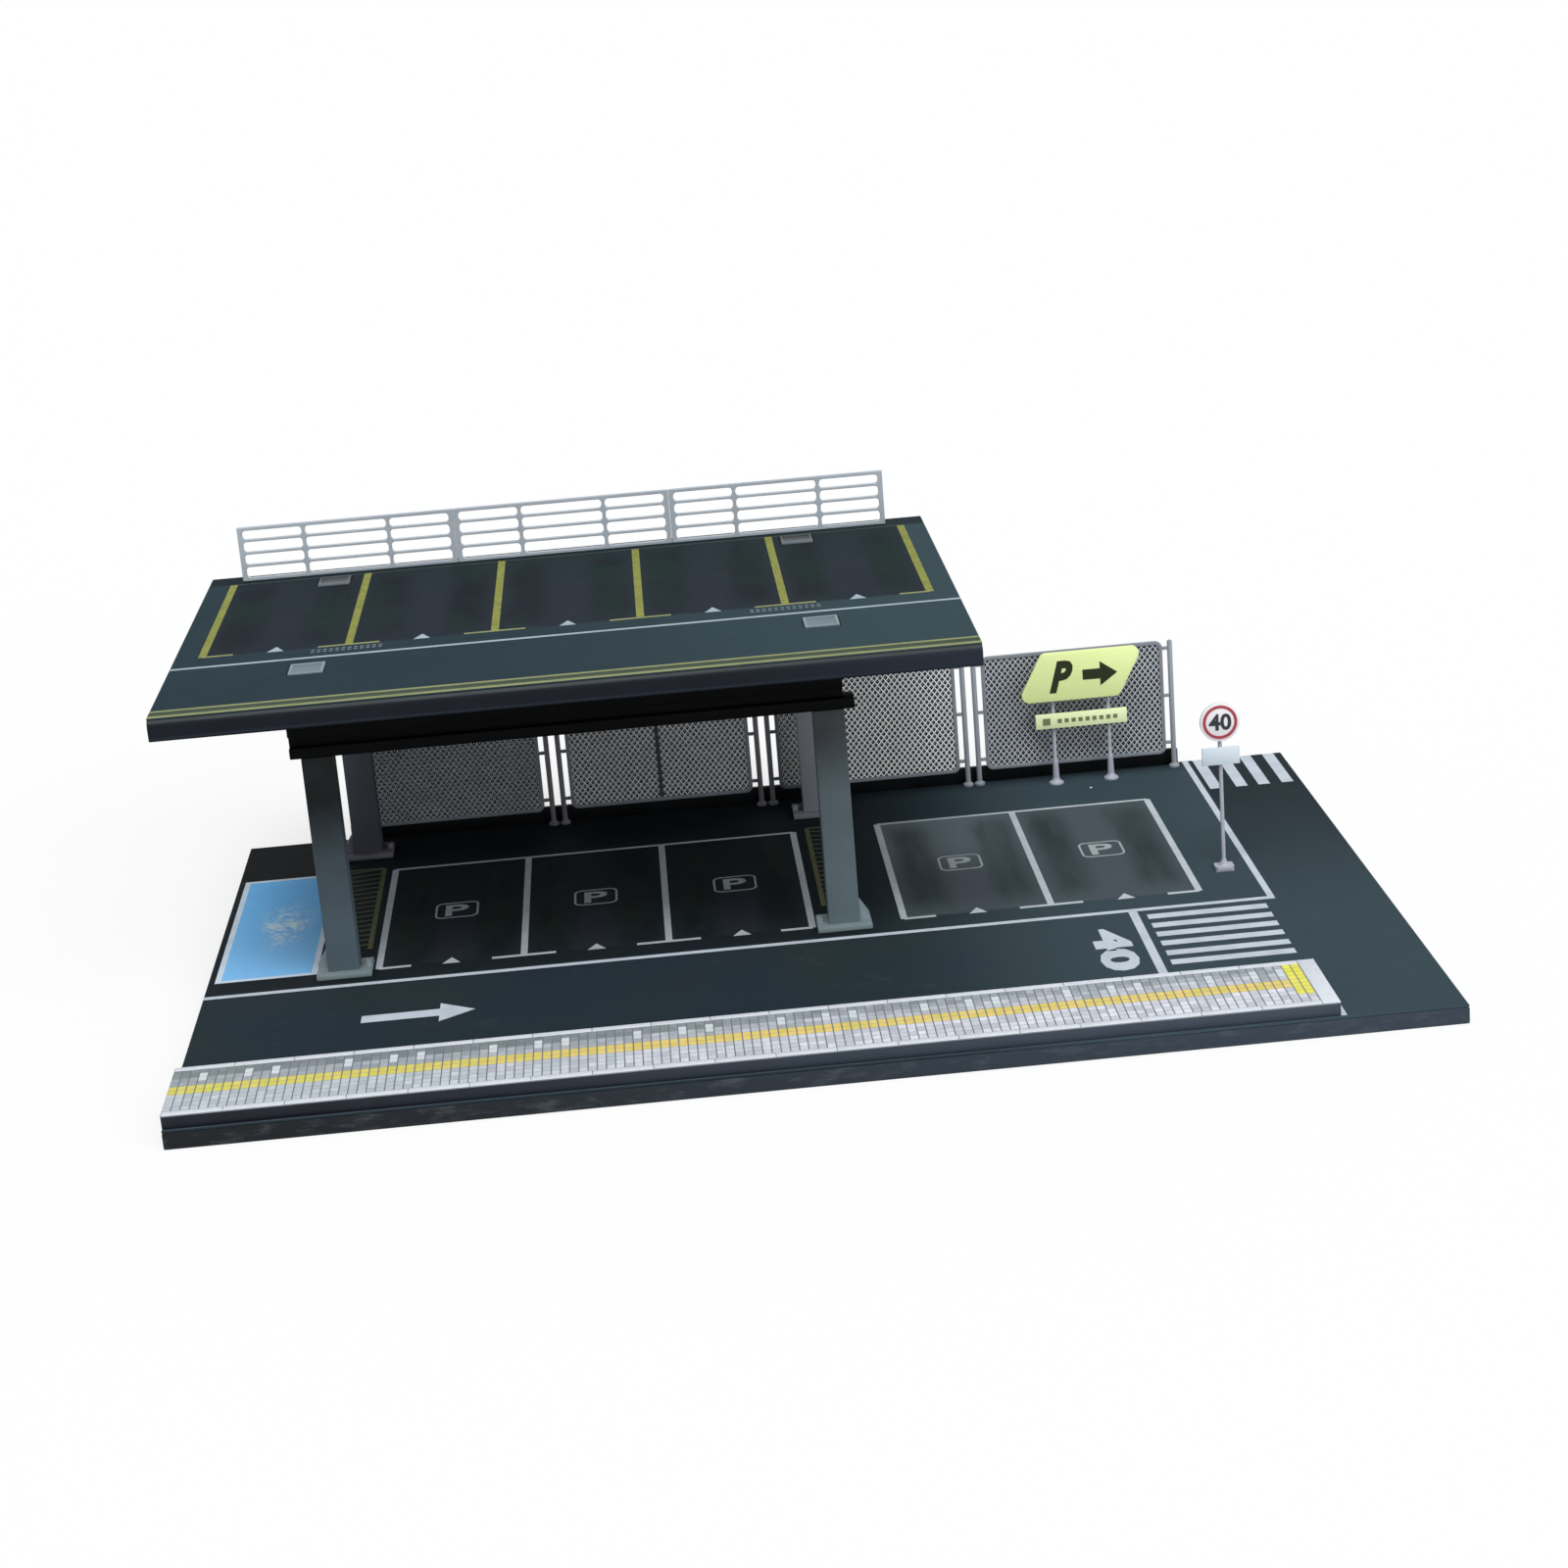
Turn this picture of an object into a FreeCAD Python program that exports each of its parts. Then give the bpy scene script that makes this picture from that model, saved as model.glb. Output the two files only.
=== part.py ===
import FreeCAD, Part
import math
import os

import Sketcher

# A model car park on one flat board. The camera side is -Y, +X runs to the right along the
# road and +Z is up. The origin is the middle of the board's underside. Lengths are in mm.

SIZES = {
    # Board and the printed sheet that covers it
    "board_length": 300.0,
    "board_depth": 200.0,
    "board_thick": 4.3,
    "sheet_thick": 0.4,
    # Raised pavement along the front edge
    "walk_end_gap": 29.6,
    "walk_depth": 28.0,
    "walk_thick": 3.0,
    "walk_setback": 1.1,
    "paving_thick": 0.4,
    # Steel frame: four H columns on foot plates
    "frame_left_gap": 35.2,
    "frame_back_gap": 15.1,
    "column_span_x": 127.8,
    "column_span_y": 93.1,
    "column_width": 8.0,
    "column_depth": 6.0,
    "column_height": 56.8,
    "column_flange": 1.3,
    "column_web": 1.8,
    "foot_length": 14.0,
    "foot_width": 10.4,
    "foot_thick": 1.4,
    "gusset_reach": 2.6,
    "gusset_height": 5.6,
    "gusset_toe": 1.6,
    "gusset_thick": 2.2,
    "stud_length": 1.6,
    "stud_height": 1.5,
    # Two I beams along X, on the columns
    "beam_height": 8.4,
    "beam_width": 6.0,
    "beam_flange": 2.8,
    "beam_web": 2.2,
    "beam_overhang": 2.7,
    # Joists along Y, on the beams
    "joist_height": 8.1,
    "joist_width": 4.0,
    "joist_flange": 1.2,
    "joist_web": 1.4,
    "joist_front_reach": 3.0,
    "joist_rear_reach": 9.0,
    "joist_pitch": 32.0,
    # Locating heads over the columns
    "head_length": 8.7,
    "head_width": 9.4,
    "head_proud": 0.3,
    "head_rim": 0.8,
    "head_recess": 0.3,
    "head_gap": 0.3,
    "head_rear_shift": 2.0,
    # Deck that lifts off the heads
    "deck_left_reach": 35.2,
    "deck_length": 199.2,
    "deck_front_reach": 33.8,
    "deck_depth": 140.2,
    "deck_thick": 5.4,
    "deck_film": 0.3,
    "nose_radius": 1.8,
    "lip_radius": 0.8,
    # Guard rail in three panels along the deck's back edge
    "rail_end_gap": 9.1,
    "rail_pitch": 59.9,
    "rail_length": 59.8,
    "rail_height": 15.2,
    "rail_depth": 1.1,
    "rail_inset": 5.4,
    "rail_bar": 1.1,
    "rail_slat": 0.75,
    "rail_end_post": 1.3,
    "rail_mid_post": 1.1,
    "rail_mid_place": 18.2,
    # Mesh fence in four panels along the board's back edge
    "fence_end_gap": 30.8,
    "fence_pitch": 60.15,
    "fence_span": 56.85,
    "fence_inset": 3.6,
    "post_height": 38.0,
    "post_radius": 0.75,
    "post_foot_radius": 1.5,
    "post_foot_height": 1.1,
    "post_foot_rim": 0.55,
    "post_cap": 0.25,
    "fence_gap": 2.2,
    "fence_low": 4.2,
    "fence_bar": 1.1,
    "fence_depth": 1.1,
    "fence_inner_corner": 1.0,
    "net_thick": 0.8,
    "net_play": 0.05,
    "net_edge": 0.5,
    "net_strand": 0.9,
    "clip_low": 7.45,
    "clip_pitch": 14.15,
    "clip_height": 0.9,
    "clip_depth": 0.9,
    "mid_bar_depth": 0.3,
    # Low strip on the board's back edge, behind the fence
    "strip_height": 4.6,
    "strip_depth": 1.6,
    "strip_overlap": 1.5,
    # Sockets in the board that hold the two lift-out signs
    "peg_radius": 0.8,
    "peg_length": 3.0,
    "peg_gap": 0.08,
    "socket_spare": 0.3,
    # Slanted sign board on two poles, with a small plate under it
    "board_sign_left_gap": 241.0,
    "board_sign_back_gap": 9.2,
    "board_sign_length": 29.4,
    "board_sign_height": 14.3,
    "board_sign_slant": 7.6,
    "board_sign_low": 25.0,
    "board_sign_thick": 1.2,
    "board_sign_corner": 2.2,
    "plate_left_gap": 240.7,
    "plate_length": 26.3,
    "plate_height": 4.3,
    "plate_low": 16.9,
    "plate_thick": 1.0,
    "pole_left_gap": 240.75,
    "pole_spread": 15.9,
    "pole_height": 36.6,
    "pole_radius": 0.52,
    "sleeve_radius": 0.75,
    "sleeve_low_radius": 1.0,
    "sleeve_height": 6.8,
    "pole_foot_radius": 2.1,
    "pole_foot_height": 1.3,
    "pole_foot_rim": 0.43,
    # Round sign on one pole, with a plate under the disc
    "disc_right_gap": 35.6,
    "disc_back_gap": 94.2,
    "disc_height": 40.75,
    "disc_radius": 5.2,
    "disc_thick": 0.9,
    "tag_length": 9.8,
    "tag_height": 4.7,
    "tag_low": 29.15,
    "tag_thick": 0.8,
    "disc_pole_top": 43.5,
    "disc_base_length": 4.9,
    "disc_base_width": 4.0,
    "disc_base_thick": 1.3,
    "disc_base_corner": 0.8,
    "disc_foot_radius": 1.6,
    "disc_foot_height": 2.0,
    "disc_foot_rim": 1.3,
}

JOISTS = 4
RAIL_PANELS = 3
RAIL_WINDOWS = 4
FENCE_PANELS = 4
BARRED_PANEL = 2
CLIPS_PER_SIDE = 3
NET_COLUMNS = 12
NET_ROWS = 8

doc = FreeCAD.newDocument("ModelCarPark")
sheet = doc.addObject("Spreadsheet::Sheet", "Sizes")
for row, (name, number) in enumerate(SIZES.items(), start=1):
    sheet.set(f"A{row}", name)
    sheet.set(f"B{row}", str(number))
    sheet.setAlias(f"B{row}", name)
doc.recompute()


class Size:
    """A length that carries its value and the sheet expression that gives it."""

    def __init__(self, value, text):
        self.value = value
        self.text = text

    def __add__(self, other):
        return joined(self, "+", other)

    def __radd__(self, other):
        return joined(other, "+", self)

    def __sub__(self, other):
        return joined(self, "-", other)

    def __rsub__(self, other):
        return joined(other, "-", self)

    def __mul__(self, other):
        return joined(self, "*", other)

    def __rmul__(self, other):
        return joined(other, "*", self)

    def __truediv__(self, other):
        return joined(self, "/", other)

    def __neg__(self):
        return Size(-self.value, f"(-1 * {self.text})")


def as_size(number):
    """Return a plain number as a Size, and a Size as it is."""
    return number if isinstance(number, Size) else Size(float(number), repr(float(number)))


def joined(left, sign, right):
    """Return the sum, difference, product or quotient of two sizes."""
    left, right = as_size(left), as_size(right)
    results = {
        "+": lambda a, b: a + b,
        "-": lambda a, b: a - b,
        "*": lambda a, b: a * b,
        "/": lambda a, b: a / b,
    }
    return Size(results[sign](left.value, right.value), f"({left.text} {sign} {right.text})")


def size(name):
    """Return the size that the sheet holds under this name."""
    return Size(float(sheet.get(name)), f"Sizes.{name}")


def bind(thing, **lengths):
    """Tie a feature's lengths to the sheet."""
    for prop, length in lengths.items():
        setattr(thing, prop, as_size(length).value)
        thing.setExpression(prop, as_size(length).text)


def place(thing, x=0.0, y=0.0, z=0.0):
    """Put a feature at a point that follows the sheet."""
    spot = [as_size(value) for value in (x, y, z)]
    thing.Placement.Base = FreeCAD.Vector(*(value.value for value in spot))
    for axis, value in zip("xyz", spot):
        thing.setExpression(f".Placement.Base.{axis}", value.text)


def box(name, length, width, height, x, y, z):
    """Make a box whose low corner is at x, y, z."""
    solid = doc.addObject("Part::Box", name)
    bind(solid, Length=length, Width=width, Height=height)
    place(solid, x, y, z)
    return solid


def cut(name, base, tools):
    """Take the tools away from the base."""
    tool = tools[0]
    if len(tools) > 1:
        tool = doc.addObject("Part::MultiFuse", f"{name}_tools")
        tool.Shapes = tools
    result = doc.addObject("Part::Cut", name)
    result.Base = base
    result.Tool = tool
    return result


def origin_plane(body, role):
    """Return one of a body's own origin planes."""
    return next(item for item in body.Origin.OriginFeatures if item.Role == role)


def closed_sketch(body, name, role, loops):
    """Draw closed outlines, with each corner tied to the sheet.

    A corner is (across, up). Two corners joined by an arc have the arc's centre
    between them, given as ("centre", across, up) and run the short way round.
    """
    sketch = body.newObject("Sketcher::SketchObject", name)
    sketch.AttachmentSupport = [(origin_plane(body, role), "")]
    sketch.MapMode = "FlatFace"
    for loop in loops:
        draw_loop(sketch, loop)
    return sketch


def draw_loop(sketch, loop):
    """Draw one closed outline of lines and arcs."""
    corners = [item for item in loop if item[0] != "centre"]
    edges = []
    for index, corner in enumerate(corners):
        following = corners[(index + 1) % len(corners)]
        spot = loop.index(corner)
        after = loop[(spot + 1) % len(loop)]
        start, end = flat_point(corner), flat_point(following)
        if after[0] == "centre":
            edges.append((draw_arc(sketch, start, end, flat_point(after[1:])), True))
        else:
            edges.append((sketch.addGeometry(Part.LineSegment(start, end), False), False))
    for (edge, _), (follower, _) in zip(edges, edges[1:] + edges[:1]):
        sketch.addConstraint(Sketcher.Constraint("Coincident", edge, 2, follower, 1))
    for corner, (edge, _) in zip(corners, edges):
        pin_point(sketch, edge, 1, corner)
    for corner, (edge, is_arc) in zip(corners, edges):
        if is_arc:
            after = loop[loop.index(corner) + 1]
            pin_point(sketch, edge, 3, after[1:], across_only=True)


def draw_arc(sketch, start, end, centre):
    """Add the anticlockwise quarter from start to end about a centre."""
    radius = (start - centre).Length
    first = math.atan2(start.y - centre.y, start.x - centre.x)
    last = math.atan2(end.y - centre.y, end.x - centre.x)
    if last < first:
        last += 2 * math.pi
    circle = Part.Circle(centre, FreeCAD.Vector(0, 0, 1), radius)
    return sketch.addGeometry(Part.ArcOfCircle(circle, first, last), False)


def flat_point(corner):
    """Return a corner as a point on the sketch plane."""
    across, up = (as_size(value) for value in corner)
    return FreeCAD.Vector(across.value, up.value, 0)


def pin_point(sketch, edge, end, corner, across_only=False):
    """Tie one end of an edge to its place."""
    kinds = ["DistanceX"] if across_only else ["DistanceX", "DistanceY"]
    for kind, value in zip(kinds, corner):
        value = as_size(value)
        pin = sketch.addConstraint(Sketcher.Constraint(kind, -1, 1, edge, end, value.value))
        sketch.setExpression(f"Constraints[{pin}]", value.text)


def rectangle(left, low, right, high):
    """Return a rectangle's corners, anticlockwise."""
    return [(left, low), (right, low), (right, high), (left, high)]


def pad(body, sketch, length, both_ways=False):
    """Raise a sketch into the body's solid."""
    feature = body.newObject("PartDesign::Pad", f"{sketch.Name}_pad")
    feature.Profile = sketch
    feature.Midplane = both_ways
    bind(feature, Length=length)
    sketch.Visibility = False
    return feature


def pocket_through(body, sketch):
    """Cut a sketch through the whole solid, both ways, and make sure that it cuts."""
    doc.recompute()
    before = body.Shape.Volume
    feature = body.newObject("PartDesign::Pocket", f"{sketch.Name}_pocket")
    feature.Profile = sketch
    feature.Type = "ThroughAll"
    feature.Midplane = True
    doc.recompute()
    if body.Shape.Volume >= before:
        raise RuntimeError(f"{feature.Name} cuts nothing")
    return feature


def new_body(name):
    """Start a body."""
    return doc.addObject("PartDesign::Body", name)


def turned(name, profile):
    """Turn a profile of (radius, height) corners about the body's own Z axis."""
    body = new_body(name)
    sketch = closed_sketch(body, f"{name}_profile", "XZ_Plane", [profile])
    feature = body.newObject("PartDesign::Revolution", f"{name}_turn")
    feature.Profile = sketch
    feature.ReferenceAxis = (origin_plane(body, "Z_Axis"), [""])
    feature.Angle = 360
    return body


def round_edges(body, radius, wanted):
    """Round the edges of the body's tip that the test picks."""
    doc.recompute()
    tip = body.Tip
    names = [f"Edge{n}" for n, edge in enumerate(tip.Shape.Edges, start=1) if wanted(edge)]
    fillet = body.newObject("PartDesign::Fillet", f"{body.Name}_round{len(body.Group)}")
    fillet.Base = (tip, names)
    bind(fillet, Radius=radius)
    return fillet


def runs_along_y(edge):
    """Tell whether a straight edge runs along Y."""
    step = edge.Vertexes[-1].Point - edge.Vertexes[0].Point
    return abs(step.y) > 1e-6 and math.hypot(step.x, step.z) < 1e-6


def stands_at_a_corner(edge):
    """Tell whether a straight edge runs along Z, clear of both axes."""
    low, high = edge.Vertexes[0].Point, edge.Vertexes[-1].Point
    upright = abs(high.z - low.z) > 1e-6 and math.hypot(high.x - low.x, high.y - low.y) < 1e-6
    return upright and min(abs(low.x), abs(low.y)) > 1e-3


# Levels and lines that several pieces share
lot_top = size("board_thick") + size("sheet_thick")
foot_top = lot_top + size("foot_thick")
column_top = foot_top + size("column_height")
beam_top = column_top + size("beam_height")
joist_top = beam_top + size("joist_height")
slab_top = joist_top + size("deck_thick")
deck_top = slab_top + size("deck_film")
board_left = -size("board_length") / 2
board_front = -size("board_depth") / 2
board_right = size("board_length") / 2
board_back = size("board_depth") / 2
frame_left_x = board_left + size("frame_left_gap")
frame_middle_x = frame_left_x + size("column_span_x") / 2
frame_rear_y = board_back - size("frame_back_gap")
frame_front_y = frame_rear_y - size("column_span_y")
deck_left = frame_left_x - size("deck_left_reach")
deck_middle_x = deck_left + size("deck_length") / 2
deck_front = frame_front_y - size("deck_front_reach")
deck_back = deck_front + size("deck_depth")
fence_y = board_back - size("fence_inset")
frame_length = size("fence_span") - 2 * size("fence_gap")
frame_height = size("post_height") - size("fence_low")
column_places = {
    "front_left": (frame_left_x, frame_front_y),
    "front_right": (frame_left_x + size("column_span_x"), frame_front_y),
    "rear_left": (frame_left_x, frame_rear_y),
    "rear_right": (frame_left_x + size("column_span_x"), frame_rear_y),
}
head_places = {
    corner: (x, y - size("head_rear_shift") if corner.startswith("rear") else y)
    for corner, (x, y) in column_places.items()
}
board_sign_y = board_back - size("board_sign_back_gap")
poles_x = board_left + size("pole_left_gap")
disc_x = board_right - size("disc_right_gap")
disc_y = board_back - size("disc_back_gap")
sign_pegs = {
    "parking_left": (poles_x - size("pole_spread") / 2, board_sign_y),
    "parking_right": (poles_x + size("pole_spread") / 2, board_sign_y),
    "speed": (disc_x, disc_y),
}


def socket_cutters(piece, low, height):
    """Make one round cutter per sign peg."""
    cutters = []
    for peg, (x, y) in sign_pegs.items():
        cutter = doc.addObject("Part::Cylinder", f"{piece}_{peg}_socket")
        bind(cutter, Radius=size("peg_radius") + size("peg_gap"), Height=height)
        place(cutter, x, y, low)
        cutters.append(cutter)
    return cutters


def make_board():
    """Make the base board, with blind sockets for the signs, and its printed sheet."""
    depth = size("peg_length") + size("socket_spare") - size("sheet_thick")
    blank = box("base_blank", size("board_length"), size("board_depth"), size("board_thick"),
                board_left, board_front, 0)
    board = cut("base_board", blank, socket_cutters("base", size("board_thick") - depth, depth))
    film = box("lot_blank", size("board_length"), size("board_depth"), size("sheet_thick"),
               board_left, board_front, size("board_thick"))
    holes = socket_cutters("lot", size("board_thick"), size("sheet_thick"))
    return [board, cut("lot_sheet", film, holes)]


def make_pavement():
    """Make the raised pavement strip and the printed paving on it."""
    length = size("board_length") - size("walk_end_gap")
    front = board_front + size("walk_setback")
    strip = box("pavement_strip", length, size("walk_depth"), size("walk_thick"),
                board_left, front, lot_top)
    paving = box("paving_sheet", length, size("walk_depth"), size("paving_thick"),
                 board_left, front, lot_top + size("walk_thick"))
    return [strip, paving]


def i_section(width, height, flange, web):
    """Return an I outline that stands on zero."""
    half, thin, shoulder = width / 2, web / 2, height - flange
    return [
        (-half, 0), (half, 0), (half, flange), (thin, flange),
        (thin, shoulder), (half, shoulder), (half, height), (-half, height),
        (-half, shoulder), (-thin, shoulder), (-thin, flange), (-half, flange),
    ]


def make_column(corner):
    """Make one column on its foot plate, and the locating head over it."""
    x, y = column_places[corner]
    column = new_body(f"column_{corner}")
    outline = i_section(size("column_width"), size("column_depth"), size("column_flange"),
                        size("column_web"))
    pad(column, closed_sketch(column, f"column_{corner}_section", "XY_Plane", [outline]),
        size("column_height"))
    place(column, x, y - size("column_depth") / 2, foot_top)
    return [column, make_foot(corner, x, y), make_head(corner)]


def mirrored(outline):
    """Return an outline turned over left to right, still anticlockwise."""
    return [(-x, z) for x, z in reversed(outline)]


def make_foot(corner, x, y):
    """Make a foot plate with a gusset at its outer end and a low stud at its inner end."""
    foot = new_body(f"foot_{corner}")
    half_length, half_width = size("foot_length") / 2, size("foot_width") / 2
    plate = rectangle(-half_length, -half_width, half_length, half_width)
    pad(foot, closed_sketch(foot, f"foot_{corner}_plate", "XY_Plane", [plate]), size("foot_thick"))
    web, near = size("column_web") / 2, size("column_width") / 2
    far = near + size("gusset_reach")
    low = size("foot_thick")
    toe, high = low + size("gusset_toe"), low + size("gusset_height")
    gusset = [(web, low), (far, low), (far, toe), (near, high), (web, high)]
    inner_end, stud_top = size("stud_length") - half_length, low + size("stud_height")
    stud = rectangle(-half_length, low, inner_end, stud_top)
    if corner.endswith("left"):
        gusset = mirrored(gusset)
        stud = mirrored(stud)
    pad(foot, closed_sketch(foot, f"foot_{corner}_gussets", "XZ_Plane", [gusset, stud]),
        size("gusset_thick"), both_ways=True)
    place(foot, x, y, lot_top)
    return foot


def make_head(corner):
    """Make the block that stands on the beam and shows in the deck, with a shallow recess."""
    x, y = head_places[corner]
    length, width, rim = size("head_length"), size("head_width"), size("head_rim")
    height = deck_top + size("head_proud") - beam_top
    block = box(f"head_{corner}_block", length, width, height, x - length / 2, y - width / 2, beam_top)
    hollow = box(f"head_{corner}_hollow", length - 2 * rim, width - 2 * rim, size("head_recess"),
                 x - length / 2 + rim, y - width / 2 + rim, beam_top + height - size("head_recess"))
    return cut(f"head_{corner}", block, [hollow])


def make_beam(name, y):
    """Make one I beam. At its right end only the low flange passes the column's outer face."""
    beam = new_body(name)
    length = size("column_span_x") + size("column_width") + 2 * size("beam_overhang")
    outline = i_section(size("beam_width"), size("beam_height"), size("beam_flange"),
                        size("beam_web"))
    pad(beam, closed_sketch(beam, f"{name}_section", "YZ_Plane", [outline]), length, both_ways=True)
    web_end, tip = length / 2 - size("beam_overhang"), length / 2 + size("beam_overhang")
    notch = rectangle(web_end, size("beam_flange"), tip, size("beam_height") + size("beam_flange"))
    pocket_through(beam, closed_sketch(beam, f"{name}_notch", "XZ_Plane", [notch]))
    place(beam, frame_middle_x, y, column_top)
    return beam


def make_joist(number):
    """Make one joist across the two beams."""
    joist = new_body(f"joist_{number}")
    outline = i_section(size("joist_width"), size("joist_height"), size("joist_flange"),
                        size("joist_web"))
    front, rear = size("joist_front_reach"), size("joist_rear_reach")
    length = front + size("column_span_y") + rear
    pad(joist, closed_sketch(joist, f"joist_{number}_section", "XZ_Plane", [outline]), length,
        both_ways=True)
    step = number - (JOISTS + 1) / 2
    middle = frame_front_y - front + length / 2
    place(joist, frame_middle_x + step * size("joist_pitch"), middle, beam_top)
    return joist


def head_holes():
    """Return the four holes in the deck, one round each locating head."""
    half_length = size("head_length") / 2 + size("head_gap")
    half_width = size("head_width") / 2 + size("head_gap")
    return [
        rectangle(x - half_length, y - half_width, x + half_length, y + half_width)
        for x, y in head_places.values()
    ]


def make_deck():
    """Make the deck slab with its rounded front edge, and the printed film on it."""
    slab = new_body("deck_slab")
    front, nose, lip = deck_front, size("nose_radius"), size("lip_radius")
    profile = [
        (front + lip, 0), (deck_back, 0), (deck_back, size("deck_thick")),
        (front + nose, size("deck_thick")),
        ("centre", front + nose, size("deck_thick") - nose),
        (front, size("deck_thick") - nose), (front, lip),
        ("centre", front + lip, lip),
    ]
    pad(slab, closed_sketch(slab, "deck_slab_profile", "YZ_Plane", [profile]),
        size("deck_length"), both_ways=True)
    place(slab, deck_middle_x, 0, joist_top)
    shifted = [[(x - deck_middle_x, y) for x, y in hole] for hole in head_holes()]
    pocket_through(slab, closed_sketch(slab, "deck_slab_holes", "XY_Plane", shifted))

    film = new_body("deck_sheet")
    outer = rectangle(deck_left, front + nose / 2, deck_left + size("deck_length"), deck_back)
    pad(film, closed_sketch(film, "deck_sheet_outline", "XY_Plane", [outer] + head_holes()),
        size("deck_film"))
    place(film, 0, 0, slab_top)
    return [slab, film]


def make_rail(number):
    """Make one guard rail panel with its rows of slots between the posts."""
    rail = new_body(f"guard_rail_{number}")
    length, height, bar = size("rail_length"), size("rail_height"), size("rail_bar")
    end_post, mid_post = size("rail_end_post"), size("rail_mid_post")
    slat = size("rail_slat")
    slot = (height - 2 * bar - (RAIL_WINDOWS - 1) * slat) / RAIL_WINDOWS
    first_post, last_post = size("rail_mid_place"), length - size("rail_mid_place")
    bays = [
        (end_post, first_post - mid_post / 2),
        (first_post + mid_post / 2, last_post - mid_post / 2),
        (last_post + mid_post / 2, length - end_post),
    ]
    loops = [rectangle(0, 0, length, height)]
    for left, right in bays:
        for level in range(RAIL_WINDOWS):
            low = bar + level * (slot + slat)
            loops.append(rectangle(left, low, right, low + slot))
    pad(rail, closed_sketch(rail, f"guard_rail_{number}_outline", "XZ_Plane", loops),
        size("rail_depth"), both_ways=True)
    place(rail, deck_left + size("rail_end_gap") + (number - 1) * size("rail_pitch"),
          deck_back - size("rail_inset"), deck_top)
    return rail


def post_x(number, side):
    """Return where a fence panel's left (0) or right (1) post stands."""
    first = board_left + size("fence_end_gap") + (number - 1) * size("fence_pitch")
    return first + side * size("fence_span")


def make_posts(number):
    """Make the two round posts of a fence panel, each with a small foot."""
    radius, foot = size("post_radius"), size("post_foot_radius")
    top, cap = size("post_height"), size("post_cap")
    profile = [
        (0, 0), (foot, 0), (foot, size("post_foot_rim")), (radius, size("post_foot_height")),
        (radius, top - cap), (radius - cap, top), (0, top),
    ]
    posts = []
    for side, word in enumerate(("left", "right")):
        post = turned(f"fence_post_{number}_{word}", profile)
        place(post, post_x(number, side), fence_y, lot_top)
        posts.append(post)
    return posts


def frame_left(number):
    """Return where a fence panel's frame starts along X."""
    return post_x(number, 0) + size("fence_gap")


def make_frame(number):
    """Make the rounded frame of a fence panel."""
    frame = new_body(f"fence_frame_{number}")
    bar, inner_corner = size("fence_bar"), size("fence_inner_corner")
    outer = rectangle(0, 0, frame_length, frame_height)
    pad(frame, closed_sketch(frame, f"fence_frame_{number}_outside", "XZ_Plane", [outer]),
        size("fence_depth"), both_ways=True)
    round_edges(frame, inner_corner + bar, runs_along_y)
    inner = rectangle(bar, bar, frame_length - bar, frame_height - bar)
    pocket_through(frame, closed_sketch(frame, f"fence_frame_{number}_inside", "XZ_Plane", [inner]))
    inset = bar.value

    def is_inner_corner(edge):
        spot = edge.CenterOfMass
        at_side = min(abs(spot.x - inset), abs(spot.x - (frame_length.value - inset))) < 1e-4
        at_level = min(abs(spot.z - inset), abs(spot.z - (frame_height.value - inset))) < 1e-4
        return runs_along_y(edge) and at_side and at_level

    round_edges(frame, inner_corner, is_inner_corner)
    place(frame, frame_left(number), fence_y, lot_top + size("fence_low"))
    return frame


def rounded_outline(left, low, right, high, radius):
    """Return a rounded rectangle as a wire in the XZ plane."""
    turn = radius * (1 - math.sqrt(0.5))
    arcs = []
    corners = [(left, low, 1, 1), (right, low, -1, 1), (right, high, -1, -1), (left, high, 1, -1)]
    for x, z, inward_x, inward_z in corners:
        beside = FreeCAD.Vector(x, 0, z + inward_z * radius)
        along = FreeCAD.Vector(x + inward_x * radius, 0, z)
        middle = FreeCAD.Vector(x + inward_x * turn, 0, z + inward_z * turn)
        first, last = (beside, along) if inward_x == inward_z else (along, beside)
        arcs.append(Part.Arc(first, middle, last).toShape())
    sides = []
    for index, arc in enumerate(arcs):
        after = arcs[(index + 1) % len(arcs)]
        sides += [arc, Part.makeLine(arc.lastVertex().Point, after.firstVertex().Point)]
    return Part.Wire(sides)


def diamond(x, z, half_width, half_height):
    """Return one diamond gap of the net as a wire."""
    corners = [(x - half_width, z), (x, z - half_height), (x + half_width, z), (x, z + half_height)]
    points = [FreeCAD.Vector(across, 0, up) for across, up in corners]
    return Part.makePolygon(points + points[:1])


def net_shape():
    """Return the flat diamond mesh of a fence frame: one holed face, made thick."""
    play = size("fence_bar").value + size("net_play").value
    wide, tall = frame_length.value - 2 * play, frame_height.value - 2 * play
    corner = size("fence_inner_corner").value - size("net_play").value
    edge, strand = size("net_edge").value, size("net_strand").value
    pitch_x, pitch_z = (wide - 2 * edge) / NET_COLUMNS, (tall - 2 * edge) / NET_ROWS
    slope = math.hypot(pitch_x, pitch_z)
    half_width = pitch_x / 2 - strand * slope / (2 * pitch_z)
    half_height = half_width * pitch_z / pitch_x
    wires = [rounded_outline(0, 0, wide, tall, corner)]
    for offset in (0, 1):
        for column in range(NET_COLUMNS - offset):
            for level in range(NET_ROWS - offset):
                x = edge + (column + 0.5 + offset / 2) * pitch_x
                z = edge + (level + 0.5 + offset / 2) * pitch_z
                wires.append(diamond(x, z, half_width, half_height))
    face = Part.makeFace(wires, "Part::FaceMakerBullseye")
    return face.extrude(FreeCAD.Vector(0, size("net_thick").value, 0))


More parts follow.
